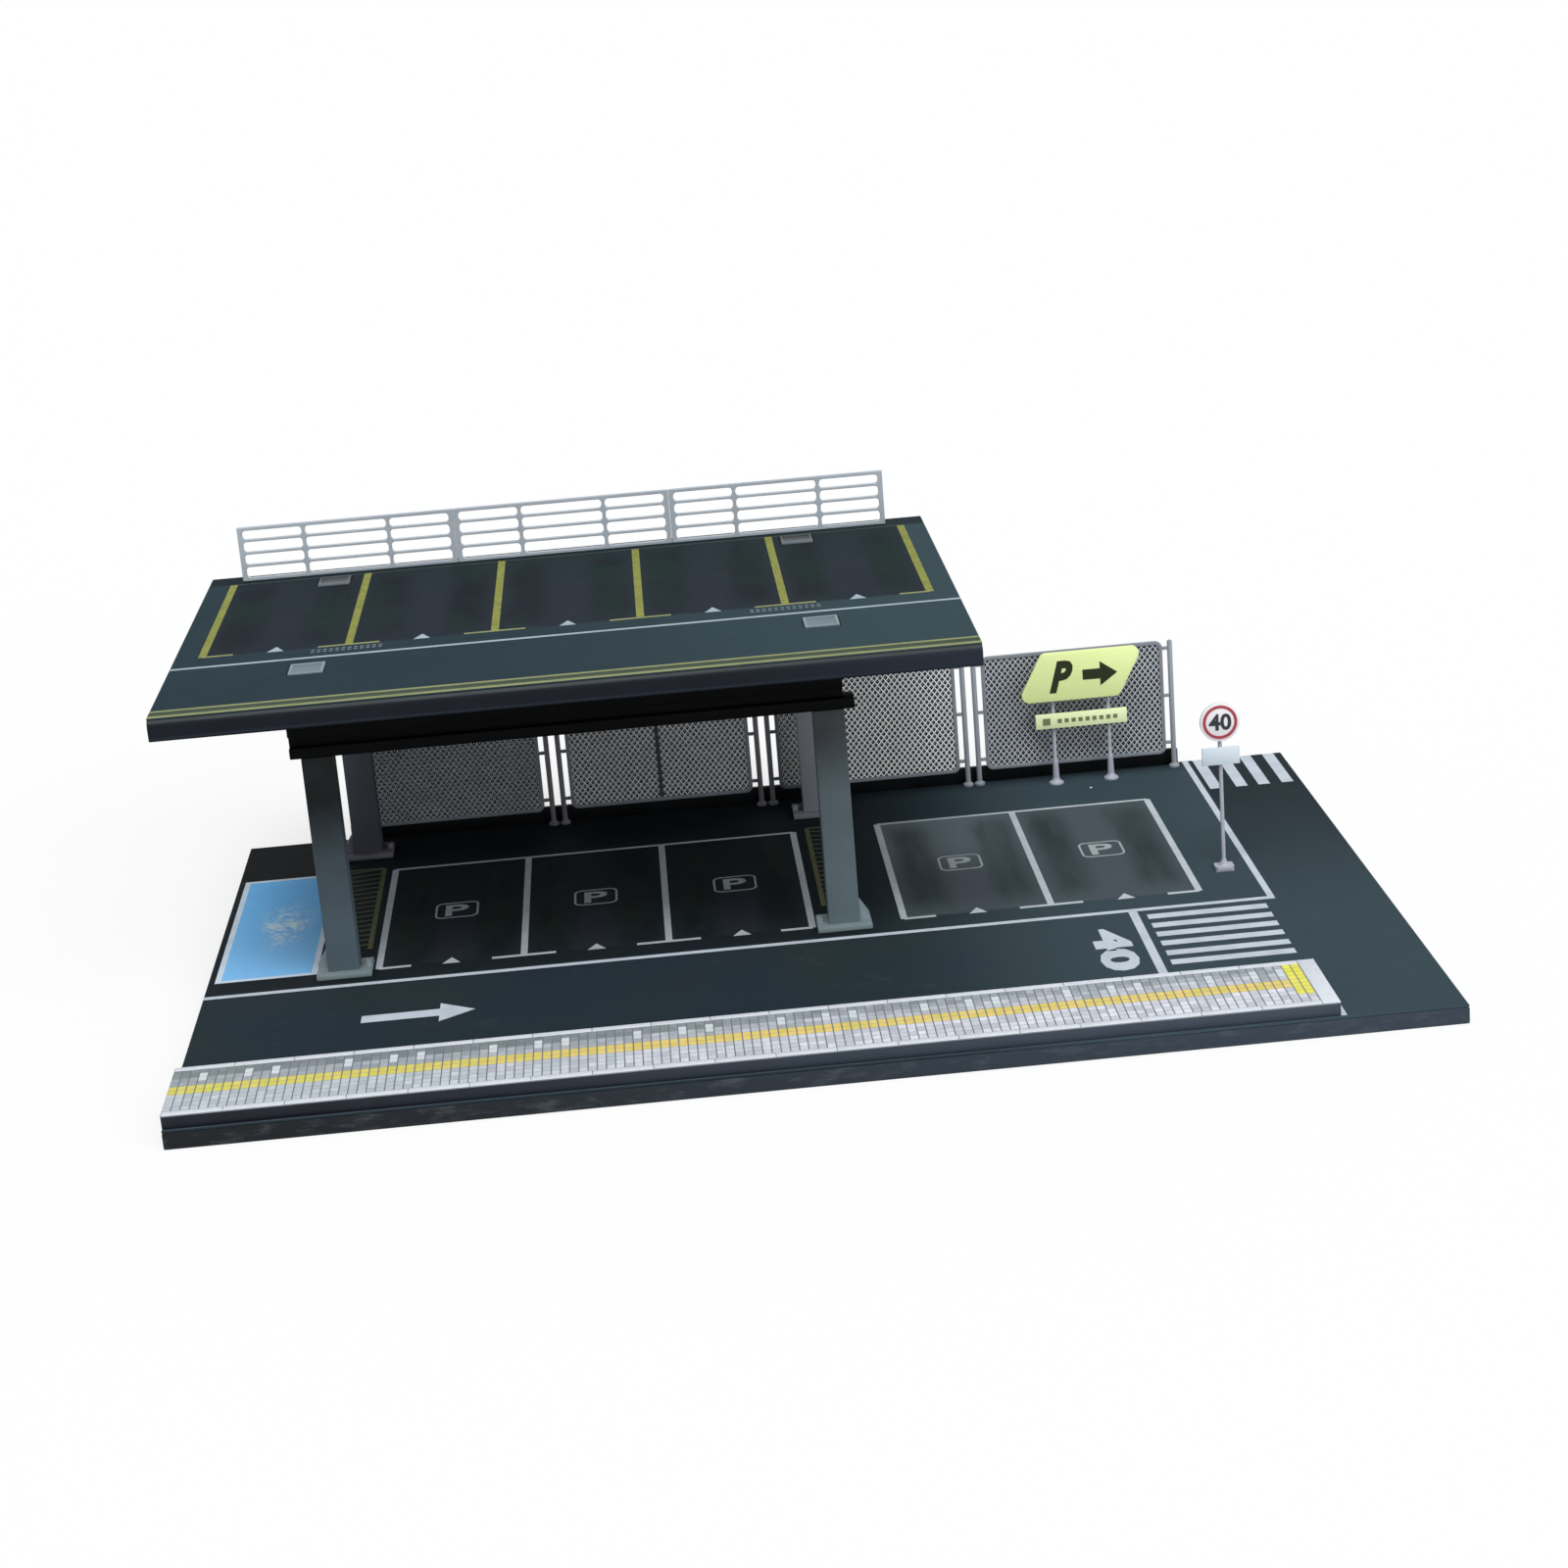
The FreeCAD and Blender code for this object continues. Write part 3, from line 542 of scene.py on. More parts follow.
@dataclass(frozen=True)
class RawEdge(Finish):
    """Pressed board with cut, rough sides: dark fibre with scuffed pale flecks."""

    scuff: str = "#565c62"
    right: str = "#343d48"
    share: float = 0.35

    def build(self, graph: Graph) -> bpy.types.Material:
        """Build the shader.

        Args:
            graph: The material's tree.

        Returns:
            The material.
        """
        fibre = graph.noise(1.2, 4, (5.0, 5.0, 1.0), 0.65)
        coarse = graph.noise(3.2, 4, (2.0, 2.0, 1.0), 0.6)
        scuff = graph.rise(fibre * 0.5 + coarse * 0.5, 0.48, 0.68)
        colour = graph.coats(self.colour, (graph.rise(graph.axis("X"), -150.0, 150.0), self.right),
                             (scuff * self.share, self.scuff))
        return graph.close(colour, 0.62 + fibre * 0.2, coarse * 0.7 + fibre * 0.3, 0.16,
                           Specular_IOR_Level=0.12)


class Mould:
    """A mesh in the making, in millimetres, that ends as one piece of the model."""

    def __init__(self) -> None:
        """Start empty."""
        self.bm = bmesh.new()

    def block(self, low: Spot, high: Spot, round_by: float = 0.0) -> None:
        """Add a box between two corners.

        Args:
            low: The lowest corner.
            high: The highest corner.
            round_by: The width of its rounded edges, or nothing.
        """
        low_at, high_at = Vector(low), Vector(high)
        middle = Matrix.Translation((low_at + high_at) / 2)
        scale = Matrix.Diagonal((*(high_at - low_at), 1.0))
        verts = bmesh.ops.create_cube(self.bm, size=1.0, matrix=middle @ scale)["verts"]
        if round_by:
            self.bevel({edge for vert in verts for edge in vert.link_edges}, round_by)

    def bevel(self, geom: Iterable, width: float, steps: int = 2, affect: str = "EDGES") -> None:
        """Round the edges, or the corners of a flat face."""
        bmesh.ops.bevel(self.bm, geom=list(geom), offset=width, offset_type="OFFSET",
                        segments=steps, profile=0.5, affect=affect, clamp_overlap=True, material=-1)

    def thicken(self, faces: Sequence, by: float) -> list:
        """Turn flat faces into a closed plate.

        Args:
            faces: The faces.
            by: How far their copy is raised, or lowered.

        Returns:
            The faces of the plate.
        """
        verts = {vert for face in faces for vert in face.verts}
        grown = bmesh.ops.extrude_face_region(self.bm, geom=list(faces), use_keep_orig=True)["geom"]
        moved = [item for item in grown if isinstance(item, bmesh.types.BMVert)]
        bmesh.ops.translate(self.bm, verts=moved, vec=(0.0, 0.0, by))
        made = list({face for vert in verts.union(moved) for face in vert.link_faces})
        bmesh.ops.recalc_face_normals(self.bm, faces=made)
        return made

    def slab(self, outline: Sequence[Point], base: float, thick: float = PAINT) -> None:
        """Add a flat plate over an outline seen from above, with its underside at a level."""
        self.thicken([self.bm.faces.new([self.bm.verts.new((x, y, base)) for x, y in outline])], thick)

    def band(self, face: bmesh.types.BMFace, width: float, thick: float = PAINT) -> list:
        """Keep a flat face's border alone, as a raised band.

        Args:
            face: The face.
            width: The band's width.
            thick: Its thickness.

        Returns:
            The band's faces.
        """
        face.normal_update()
        rim = bmesh.ops.inset_region(self.bm, faces=[face], thickness=width, use_even_offset=True,
                                     use_boundary=True)["faces"]
        bmesh.ops.delete(self.bm, geom=[face], context="FACES_ONLY")
        return self.thicken(rim, thick)

    def ring(self, outline: Sequence[Point], width: float, base: float, corner: float = 0.0,
             steps: int = 4) -> None:
        """Paint a closed band inside an outline, with rounded corners if asked.

        Args:
            outline: The band's outer corners.
            width: The band's width.
            base: The level of its underside.
            corner: The outer corners' radius.
            steps: The edges round a corner.
        """
        verts = [self.bm.verts.new((x, y, base)) for x, y in outline]
        face = self.bm.faces.new(verts)
        if corner:
            self.bevel(verts, corner, steps, "VERTICES")
            face = next(item for item in self.bm.faces if not item.tag and len(item.verts) >= 4 * steps
                        and abs(item.calc_center_median().z - base) < 1e-6)
        for item in self.band(face, width):
            item.tag = True

    def line(self, start: Point, end: Point, width: float, base: float) -> None:
        """Paint a straight line.

        Args:
            start: The middle of one end.
            end: The middle of the other end.
            width: Its width.
            base: The level of its underside.
        """
        along = (Vector(end) - Vector(start)).normalized()
        side = Vector((-along.y, along.x)) * width / 2
        corners = (Vector(start) - side, Vector(end) - side, Vector(end) + side, Vector(start) + side)
        self.slab([(corner.x, corner.y) for corner in corners], base)

    def lines(self, rows: Iterable[Row], level: float) -> None:
        """Paint lines, each given by its two ends, its width and its lift over the level."""
        for x, y, to_x, to_y, width, lift in rows:
            self.line((x, y), (to_x, to_y), width, level + lift)

    def bars(self, places: Sequence[float], y: float, reach: float, width: float, base: float) -> None:
        """Paint bars across the ends of a row of bay lines, and none beyond the outer lines."""
        for x in places:
            self.line((max(x - reach, places[0]), y), (min(x + reach, places[-1]), y), width, base)

    def put(self, matrix: Matrix) -> "Mould":
        """Move and turn the whole mesh, and return this mould."""
        bmesh.ops.transform(self.bm, matrix=matrix, verts=self.bm.verts)
        return self

    def letters(self, words: str, size: Point, place: Spot, thick: float, turn: Matrix | None = None,
                weight: float = 0.0, lean: float = 0.0) -> None:
        """Add figures or letters as a raised plate.

        Args:
            words: What they say.
            size: Their full width and height.
            place: Their middle, on the surface that they stand on.
            thick: How far they stand proud.
            turn: How they are turned from lying flat, read from the front.
            weight: How far the strokes are thickened.
            lean: How far they slant.
        """
        curve = bpy.data.curves.new("letters", "FONT")
        curve.body, curve.size, curve.offset, curve.shear = words, 1.0, weight, lean
        curve.align_x, curve.align_y, curve.extrude, curve.resolution_u = "CENTER", "CENTER", 0.5, 3
        holder = bpy.data.objects.new("letters", curve)
        mesh = bpy.data.meshes.new_from_object(holder)
        before = set(self.bm.verts)
        self.bm.from_mesh(mesh)
        verts = [vert for vert in self.bm.verts if vert not in before]
        low = Vector([min(vert.co[axis] for vert in verts) for axis in range(3)])
        high = Vector([max(vert.co[axis] for vert in verts) for axis in range(3)])
        scale = Matrix.Diagonal((size[0] / (high.x - low.x), size[1] / (high.y - low.y),
                                 thick / (high.z - low.z), 1.0))
        middle = Matrix.Translation((-(low.x + high.x) / 2, -(low.y + high.y) / 2, -low.z))
        shift = Matrix.Translation(place) @ (turn or Matrix.Identity(4))
        bmesh.ops.transform(self.bm, matrix=shift @ scale @ middle, verts=verts)
        bmesh.ops.remove_doubles(self.bm, verts=verts, dist=0.001)
        edges = {edge for vert in verts if vert.is_valid for edge in vert.link_edges}
        bmesh.ops.dissolve_degenerate(self.bm, edges=list(edges), dist=0.01)
        faces = {face for vert in verts if vert.is_valid for face in vert.link_faces}
        bmesh.ops.recalc_face_normals(self.bm, faces=list(faces))
        bpy.data.objects.remove(holder)
        bpy.data.curves.remove(curve)
        bpy.data.meshes.remove(mesh)

    def taken(self, node: str, thin: float = 0.01) -> "Mould":
        """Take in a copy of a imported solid, with its flat faces merged.

        Args:
            node: The solid's name.
            thin: The distance under which its corners are one.

        Returns:
            This mould.
        """
        start = len(self.bm.verts)
        self.bm.from_mesh(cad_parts[node].data)
        self.bm.verts.ensure_lookup_table()
        verts = self.bm.verts[start:]
        bmesh.ops.scale(self.bm, vec=(1 / MM,) * 3, verts=verts)
        bmesh.ops.remove_doubles(self.bm, verts=verts, dist=thin)
        bmesh.ops.dissolve_limit(self.bm, angle_limit=math.radians(0.5), verts=self.bm.verts,
                                 edges=self.bm.edges, use_dissolve_boundaries=False, delimit=set())
        return self

    def eased(self, width: float, steps: int = 2, longer: float = 0.0, sharp: float = 50.0) -> "Mould":
        """Round every sharp edge.

        Args:
            width: The width of the rounding.
            steps: The faces across it.
            longer: The length under which an edge is left alone.
            sharp: The angle in degrees above which an edge is sharp.

        Returns:
            This mould.
        """
        self.bevel([edge for edge in self.bm.edges
                    if edge.is_manifold and edge.calc_face_angle() > math.radians(sharp)
                    and edge.calc_length() > longer], width, steps)
        return self

    def piece(self, name: str, *finishes: Finish, body: Body = Body.BASE, stands_for: str = "",
              smooth: float = 35.0) -> None:
        """Finish the mesh as a piece of the model.

        Args:
            name: The piece's name.
            finishes: Its finishes, in the order of its faces' material numbers.
            body: The body that it rides on.
            stands_for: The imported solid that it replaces.
            smooth: The angle in degrees up to which an edge looks round.
        """
        bmesh.ops.scale(self.bm, vec=(MM,) * 3, verts=self.bm.verts)
        for face in self.bm.faces:
            face.smooth = True
        for edge in self.bm.edges:
            edge.smooth = edge.is_manifold and edge.calc_face_angle() < math.radians(smooth)
        mesh = bpy.data.meshes.new(name)
        self.bm.to_mesh(mesh)
        self.bm.free()
        for finish in finishes:
            mesh.materials.append(finish.material())
        made = bpy.data.objects.new(name, mesh)
        bpy.context.scene.collection.objects.link(made)
        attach(made, body.value)
        if stands_for:
            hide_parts(stands_for)
        LOG.info("%s: %d faces on %s", name, len(mesh.polygons), body.value)


def dress(node: str, name: str, finish: Finish, body: Body = Body.BASE, thin: float = 0.01,
          smooth: float = 35.0, **easing: float) -> None:
    """Stand an edge-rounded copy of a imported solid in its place.

    Args:
        node: The solid's name.
        name: The piece's name.
        finish: Its finish.
        body: The body that it rides on.
        thin: The distance under which its corners are one.
        smooth: The angle in degrees up to which an edge looks round.
        easing: The arguments of Mould.eased, or none for no rounding.
    """
    copy = Mould().taken(node, thin)
    if easing:
        copy.eased(**easing)
    copy.piece(name, finish, body=body, stands_for=node, smooth=smooth)


def arrow(tail: Point, neck: float, tip: float, half: float, wing: float) -> list[Point]:
    """Return an arrow's outline from its tail's middle, with half its shaft's and its head's widths."""
    x, y = tail
    return [(x, y - half), (neck, y - half), (neck, y - wing), (tip, y), (neck, y + wing),
            (neck, y + half), (x, y + half)]


def extent(node: str) -> tuple[Vector, Vector]:
    """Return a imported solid's lowest and highest corners, in mm."""
    low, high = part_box(node)
    return low / MM, high / MM


def rectangle(left: float, front: float, right: float, back: float) -> list[Point]:
    """Return a rectangle's corners, anticlockwise."""
    return [(left, front), (right, front), (right, back), (left, back)]


ROAD_WHITE = LinePaint("road_white", Slot.LOT, "#c9d3de", worn="#8f999e")
BAY_WHITE = LinePaint("bay_white", Slot.LOT, "#c0cad0", worn="#868f96", wear=0.5)
HATCH_YELLOW = LinePaint("hatch_yellow", Slot.LOT, "#62674a", worn="#31372b", wear=0.7)
DECK_YELLOW = LinePaint("deck_yellow", Slot.DECK_PRINT, "#92964a", worn="#525a36", wear=0.75)
DECK_OLIVE = LinePaint("deck_olive", Slot.DECK_PRINT, "#93986c", worn="#686f4c", wear=0.5)
DECK_WHITE = LinePaint("deck_white", Slot.DECK_PRINT, "#a9bac2", worn="#77868c", wear=0.3)
POLE_GREY = Moulded("pole_grey_plastic", Slot.POLE, "#a2a7b4", light="#bdc1cc", roughness=0.42)
FRAME_BLACK = Moulded("beam_black_plastic", Slot.BEAM, "#060708", light="#0f1113", roughness=0.6,
                      specular=0.06)
# One grey plastic in lit and shaded copies: the front columns darken towards their tops with painted shade
# under the deck, the rear left copy is darker with painted shade and the rear right copy lighter with
# painted light.
COLUMNS = {
    "front_left": Moulded("column_left_plastic", Slot.COLUMN, "#586872", light="#66727a", cloud_share=0.1,
                          fleck=0.0, specular=0.15,
                          bands=(("Z", 14.0, 36.0, "#434e56"), ("Z", 34.0, 52.0, "#0c1011"))),
    "front_right": Moulded("column_right_plastic", Slot.COLUMN, "#67787f", light="#74828a", cloud_share=0.1,
                           fleck=0.0, bands=(("Z", 14.0, 36.0, "#57656c"), ("Z", 38.0, 58.0, "#22292f"))),
    "rear_left": Moulded("column_shaded_plastic", Slot.COLUMN, "#454950", light="#555a61", cloud_share=0.1),
    "rear_right": Moulded("column_lit_plastic", Slot.COLUMN, "#8b8e99", light="#9a9da8",
                          cloud_share=0.1),
}
FOOT_GREY = Moulded("foot_grey_plastic", Slot.COLUMN, "#76868c", light="#8e999c")
# Painted shade: a darker copy of the foot plastic for the rear feet, less dark on the right foot.
FOOT_SHADED = Moulded("foot_shaded_plastic", Slot.COLUMN, "#605f6a", light="#75747d",
                   bands=(("X", -60.0, -40.0, "#7c7f86"),))
# Black below 83 mm: painted shade on the heads' sides under the deck; grey above, lighter again at the very
# top.
HEAD_GREY = Moulded("head_grey_plastic", Slot.HEAD, "#0d0f11", light="#7d8b90",
                    bands=(("Z", 83.0, 84.5, "#5d6f78"), ("Z", 85.15, 85.3, "#7b8a91")))
HEAD_Y = sum(corner.y for corner in extent("head_rear_left")) / 2
# Painted shade: a darker copy of the head finish for the rear heads, darker still over the back half of
# each head.
HEAD_SHADED = Moulded("head_shaded_plastic", Slot.HEAD, "#0d0f11", light="#59636a",
                   bands=(("Z", 83.0, 84.5, "#48525a"), ("Z", 85.15, 85.3, "#536069"),
                          ("Y", HEAD_Y - 0.3, HEAD_Y + 0.3, "#20282d")))
JOINT = Moulded("paving_joint", Slot.PAVING, "#787f84", light="#8b9194", roughness=0.7)


@dataclass
class Lot:
    """The base board, its printed car park and everything painted on it.

    The rows of lines are given by their two ends, their width and their lift.
    """

    bay_front: float = -8.5
    bay_back: float = 68.7
    bay_line: float = 1.75
    back_line: float = 1.2
    bar: float = 1.35
    bar_reach: float = 8.2
    lift: float = 0.01
    left_lines: Row = (-106.4, -69.3, -32.1, 4.9)
    right_lines: Row = (28.5, 66.6, 105.0)
    borders: tuple[Row, ...] = ((-150.0, -18.2, 122.5, -18.2, 1.8, 0.0),
                                (121.7, -18.2, 121.7, 100.0, 1.7, 0.01),
                                (121.1, -98.9, 121.1, -72.0, 1.4, 0.0))
    ledge: Row = (-150.0, -99.5, 121.7, -99.5, 0.4, 0.0)
    mark_middles: Row = (-87.9, -50.7, -13.3, 47.6, 86.0)
    mark_y: float = 30.7
    mark_size: Point = (11.6, 11.8)
    mark_line: float = 0.55
    mark_corner: float = 2.2
    mark_letter: Point = (6.2, 8.2)
    triangle: tuple[Point, ...] = ((-2.3, -9.2), (2.3, -9.2), (0.0, -5.2))
    blue: Row = (-148.3, -8.3, -122.2, 69.7)
    blue_border: float = 1.5
    hatches: tuple[Spot, ...] = ((-120.9, -109.7, 1.0), (8.9, 16.5, -1.0))
    hatch_front: float = 7.0
    hatch_back: float = 71.0
    hatch_strokes: int = 17
    hatch_widths: Spot = (1.3, 1.0, 0.65)
    hatch_lean: float = 2.0
    hatch_start: float = 1.5
    road_arrow: tuple[Any, ...] = ((-108.6, -42.7), -89.4, -80.7, 2.2, 5.9)
    stop_line: Row = (85.8, -19.0, 85.8, -70.0, 2.2, 0.0)
    figures: Point = (29.0, 9.5)
    figures_at: Point = (77.2, -44.0)
    stripe: Spot = (88.9, 119.4, 3.2)
    crossing: Row = (-23.8, -30.2, -36.5, -42.9, -49.7, -56.0)
    back_stripe: Spot = (72.5, 99.7, 3.3)
    back_crossing: Row = (125.6, 133.0, 139.4, 146.1)
    chip: tuple[Point, ...] = ((91.2, 83.2), (92.0, 83.4), (92.1, 84.3), (91.3, 84.2))
    level: float = field(init=False)

    def __post_init__(self) -> None:
        """Find the level of the print."""
        self.level = extent("lot_sheet")[1].z

    def build(self) -> None:
        """Build the board and its marks."""
        dress("base_board", "board", RawEdge("board_fibre", Slot.BOARD, "#1b1e21"),
              width=0.5, steps=3, longer=50)
        # The low strip behind the fence is near black: a painted shadow on the ground behind the board.
        strip = Moulded("rear_strip_painted_shadow", Slot.BOARD, "#0b0d0f", light="#16191c", specular=0.1)
        dress("rear_strip", "rear_strip_shadow_block", strip, width=0.3)
        dress("lot_sheet", "lot", Asphalt("lot_asphalt", Slot.LOT, "#26313a"), width=0.12, longer=50)
        self._bays()
        self._marks()
        self._blue_bay()
        self._hatched_strips()
        self._road()

    def _bays(self) -> None:
        """Paint the bay lines with their bars, and the white borders."""
        paint, z, front, back = Mould(), self.level, self.bay_front, self.bay_back
        for places in (self.left_lines, self.right_lines):
            paint.lines([(x, front, x, back, self.bay_line, 0.0) for x in places], z)
            paint.bars(places, front, self.bar_reach, self.bar, z + self.lift)
            paint.line((places[0], back), (places[-1], back), self.back_line, z + self.lift)
        paint.piece("bay_lines", BAY_WHITE)
        border, ledge = Mould(), Mould()
        border.lines(self.borders, z)
        border.piece("border_lines", ROAD_WHITE)
        ledge.lines([self.ledge], z)
        ledge.piece("ledge_line", LinePaint("ledge_dim", Slot.LOT, "#4d565f", worn="#2b3239", wear=0.6))

    def _marks(self) -> None:
        """Paint the parking marks and the small triangles at the bays' mouths."""
        marks, tips, z = Mould(), Mould(), self.level
        half_x, half_y = self.mark_size[0] / 2, self.mark_size[1] / 2
        for x in self.mark_middles:
            marks.ring(rectangle(x - half_x, self.mark_y - half_y, x + half_x, self.mark_y + half_y),
                       self.mark_line, z, self.mark_corner)
            marks.letters("P", self.mark_letter, (x, self.mark_y, z), PAINT, weight=0.02)
            tips.slab([(x + off, y) for off, y in self.triangle], z)
        marks.piece("parking_marks", LinePaint("mark_white", Slot.LOT, "#aab3b6", worn="#6f787c", wear=0.6))
        tips.piece("bay_triangles", BAY_WHITE)

    def _blue_bay(self) -> None:
        """Paint the blue bay with its white border."""
        paint, border = Mould(), Mould()
        paint.slab(rectangle(*self.blue), self.level)
        paint.piece("blue_bay", BluePaint("bay_blue", Slot.LOT, "#7fccff"))
        border.ring(rectangle(*self.blue), self.blue_border, self.level + 2 * self.lift)
        border.piece("blue_bay_border", LinePaint("bay_border_white", Slot.LOT, "#dbeaf8", worn="#a3bccf"))

    def _hatched_strips(self) -> None:
        """Paint the two yellow hatched strips beside the columns."""
        paint, front, back = Mould(), self.hatch_front, self.hatch_back
        side_line, end_line, stroke = self.hatch_widths
        step = (back - front - 2 * self.hatch_lean) / (self.hatch_strokes - 1)
        for left, right, lean in self.hatches:
            inner = right if lean > 0 else left
            paint.lines([(inner, front, inner, back, side_line, 0.0),
                         (left, back, right, back, end_line, self.lift)], self.level)
            starts = (front + self.hatch_start + index * step for index in range(self.hatch_strokes))
            paint.lines([(left, y, right, y + self.hatch_lean * lean, stroke, self.lift / 2)
                         for y in starts], self.level)
        paint.piece("hatching", HATCH_YELLOW)

    def _road(self) -> None:
        """Paint the road's arrow, stop line, speed figures and crossings."""
        paint, z = Mould(), self.level
        paint.slab(arrow(*self.road_arrow), z)
        paint.letters("40", self.figures, (*self.figures_at, z), PAINT,
                      Matrix.Rotation(-math.pi / 2, 4, "Z"), weight=0.05)
        left, right, wide = self.stripe
        front, back, deep = self.back_stripe
        paint.lines([self.stop_line, *((left, y, right, y, wide, 0.0) for y in self.crossing),
                     *((x, front, x, back, deep, 0.0) for x in self.back_crossing)], z)
        paint.slab(self.chip, z)
        paint.piece("road_marks", ROAD_WHITE)


@dataclass
class Pavement:
    """The raised strip: dark core, white kerbs, paving slabs and a yellow guiding row."""

    tile: float = 2.11
    rows: int = 10
    yellow_rows: tuple[int, ...] = (4, 5)
    bar_rows: tuple[int, ...] = (2, 3, 4, 5, 6, 7, 8, 9)
    bar_columns: int = 2
    dark_rows: int = 2
    white_rows: tuple[int, ...] = (7, 8)
    white_columns: tuple[int, ...] = (3, 8, 11)
    white_period: int = 16
    kerb: float = 2.2
    kerb_round: float = 0.05
    kerb_right: float = 4.2
    kerb_step: float = 14.0
    kerb_gap: float = 0.16
    tile_rise: float = 0.12
    joint: float = 0.15
    squeeze: float = 2.4
    bed: float = 0.1
    left: float = field(init=False)
    right: float = field(init=False)
    front: float = field(init=False)
    back: float = field(init=False)
    level: float = field(init=False)

    def __post_init__(self) -> None:
        """Read the strip's place."""
        low, high = extent("paving_sheet")
        self.left, self.front, self.right, self.back = low.x, low.y, high.x, high.y
        self.level = high.z - self.tile_rise

    def build(self) -> None:
        """Build the strip."""
        core = Moulded("walk_core_plastic", Slot.WALK, "#171a22", light="#2c343d", roughness=0.42,
                       specular=0.15, bands=(("X", -140.0, 110.0, "#3a434e"),))
        dress("pavement_strip", "pavement_core", core, width=0.25)
        bed = Mould()
        bed.block((self.left, self.front, extent("paving_sheet")[0].z), (self.right, self.back, self.level))
        bed.piece("paving_bed", JOINT, stands_for="paving_sheet")
        self._kerbs()
        self._slabs()

    def _kerbs(self) -> None:
        """Build the white kerbs in lengths."""
        kerb, top = Mould(), self.level + self.tile_rise
        end = self.right - self.kerb_right
        count = round((end - self.left) / self.kerb_step)
        step = (end - self.left) / count
        rows = ((self.front, self.front + self.kerb), (self.back - self.kerb, self.back))
        for index in range(count):
            start, stop = self.left + index * step + self.kerb_gap, self.left + (index + 1) * step
            for low_y, high_y in rows:
                kerb.block((start, low_y, self.level), (stop, high_y, top), self.kerb_round)
        kerb.block((end + self.kerb_gap, self.front, self.level), (self.right, self.back, top),
                   self.kerb_round)
        kerb.piece("kerbs", Stone("kerb_white", Slot.PAVING, "#e2e7f0", dark="#c5ccd4", pitch=(16.0, 28.0),
                                  spread=0.2))

    def _slabs(self) -> None:
        """Build the rows of paving slabs round the yellow rows."""
        low_y, high_y = self.front + self.kerb, self.back - self.kerb
        depth, end = (high_y - low_y) / self.rows, self.right - self.kerb_right
        columns = round((end - self.left) / self.tile)
        pitch = (end - self.left) / columns
        grid = Mould()
        middle = Matrix.Translation(((self.left + end) / 2, (low_y + high_y) / 2, self.level))
        squeeze = middle @ Matrix.Diagonal((1.0, 1 / self.squeeze, 1.0, 1.0)) @ middle.inverted()
        scale = Matrix.Diagonal(((end - self.left) / 2, (high_y - low_y) / 2 * self.squeeze, 1.0, 1.0))
        bmesh.ops.create_grid(grid.bm, x_segments=columns, y_segments=self.rows, size=1.0,
                              matrix=middle @ scale)
        tiles = list(grid.bm.faces)
        grid.thicken(tiles, -self.bed)
        for face in tiles:
            spot = squeeze @ face.calc_center_median()
            column, row = int((spot.x - self.left) / pitch), int((spot.y - low_y) / depth)
            face.material_index = self._kind(column, row, columns).value
        bmesh.ops.inset_individual(grid.bm, faces=tiles, thickness=self.joint, depth=self.tile_rise,
                                   use_even_offset=True)
        grid.put(squeeze)
        for face in grid.bm.faces:
            if face.calc_center_median().z < self.level + self.tile_rise * 0.9:
                face.material_index = 0
        slab = partial(Stone, slot=Slot.PAVING, pitch=(pitch, depth), origin=(self.left, low_y))
        finishes = {
            Paver.GREY: slab("paver_grey", colour="#cfdbe0", dark="#9fa9b2", warm="#f4f6ff", warm_from=0.0,
                             hint="#d9d0e2"),
            Paver.DARK: slab("paver_dark", colour="#8e969c", dark="#6c757b", warm="#bfc5cf", warm_from=45.0,
                             hint="#85948e"),
            Paver.WHITE: slab("paver_white", colour="#e0e8ee", dark="#c5ced4", spread=0.3),
            Paver.YELLOW: slab("paver_yellow", colour="#e2df63", dark="#c9c04c", spread=0.4,
                               warm="#f6d780", warm_from=-40.0, hint="#ecd98c"),
            Paver.LEMON: slab("paver_lemon", colour="#f4f05c", dark="#d6d044", spread=0.4, hint="#f0ea8e"),
            Paver.MID: slab("paver_mid", colour="#b4bbc2", dark="#89919a", warm="#dcdfea", warm_from=0.0,
                            hint="#a3b0ab")}
        grid.piece("paving_slabs", JOINT, *(finishes[kind] for kind in Paver))

    def _kind(self, column: int, row: int, columns: int) -> Paver:
        """Choose a slab's kind.

        Args:
            column: Its place along the strip.
            row: Its place from the front.
            columns: How many slabs a row has.

        Returns:
            The kind.
        """
        if column >= columns - self.bar_columns and row in self.bar_rows:
            return Paver.LEMON
        if row in self.yellow_rows:
            return Paver.YELLOW
        if row in self.white_rows and column % self.white_period in self.white_columns:
            return Paver.WHITE
        if row > self.yellow_rows[-1]:
            return Paver.DARK if row >= self.rows - self.dark_rows else Paver.MID
        return Paver.GREY


@dataclass
class SteelFrame:
    """The columns with their feet and heads, the beams and the joists, by their edges' rounding."""

    column: float = 0.22
    foot: float = 0.2
    head: float = 0.12
    beam: float = 0.25
    joist: float = 0.18
    joists: int = 4

    def build(self) -> None:
        """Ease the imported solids' edges and dress them."""
        for corner, finish in COLUMNS.items():
            is_front = corner.startswith("front")
            self._ease(f"column_{corner}", finish, self.column)
            self._ease(f"foot_{corner}", FOOT_GREY if is_front else FOOT_SHADED, self.foot)
            self._ease(f"head_{corner}", HEAD_GREY if is_front else HEAD_SHADED, self.head)
        for beam in ("front_beam", "rear_beam"):
            self._ease(beam, FRAME_BLACK, self.beam)
        for number in range(1, self.joists + 1):
            self._ease(f"joist_{number}", FRAME_BLACK, self.joist)

    @staticmethod
    def _ease(node: str, finish: Finish, width: float) -> None:
        """Dress one solid under a name of its own."""
        dress(node, f"{node}_moulding", finish, width=width)


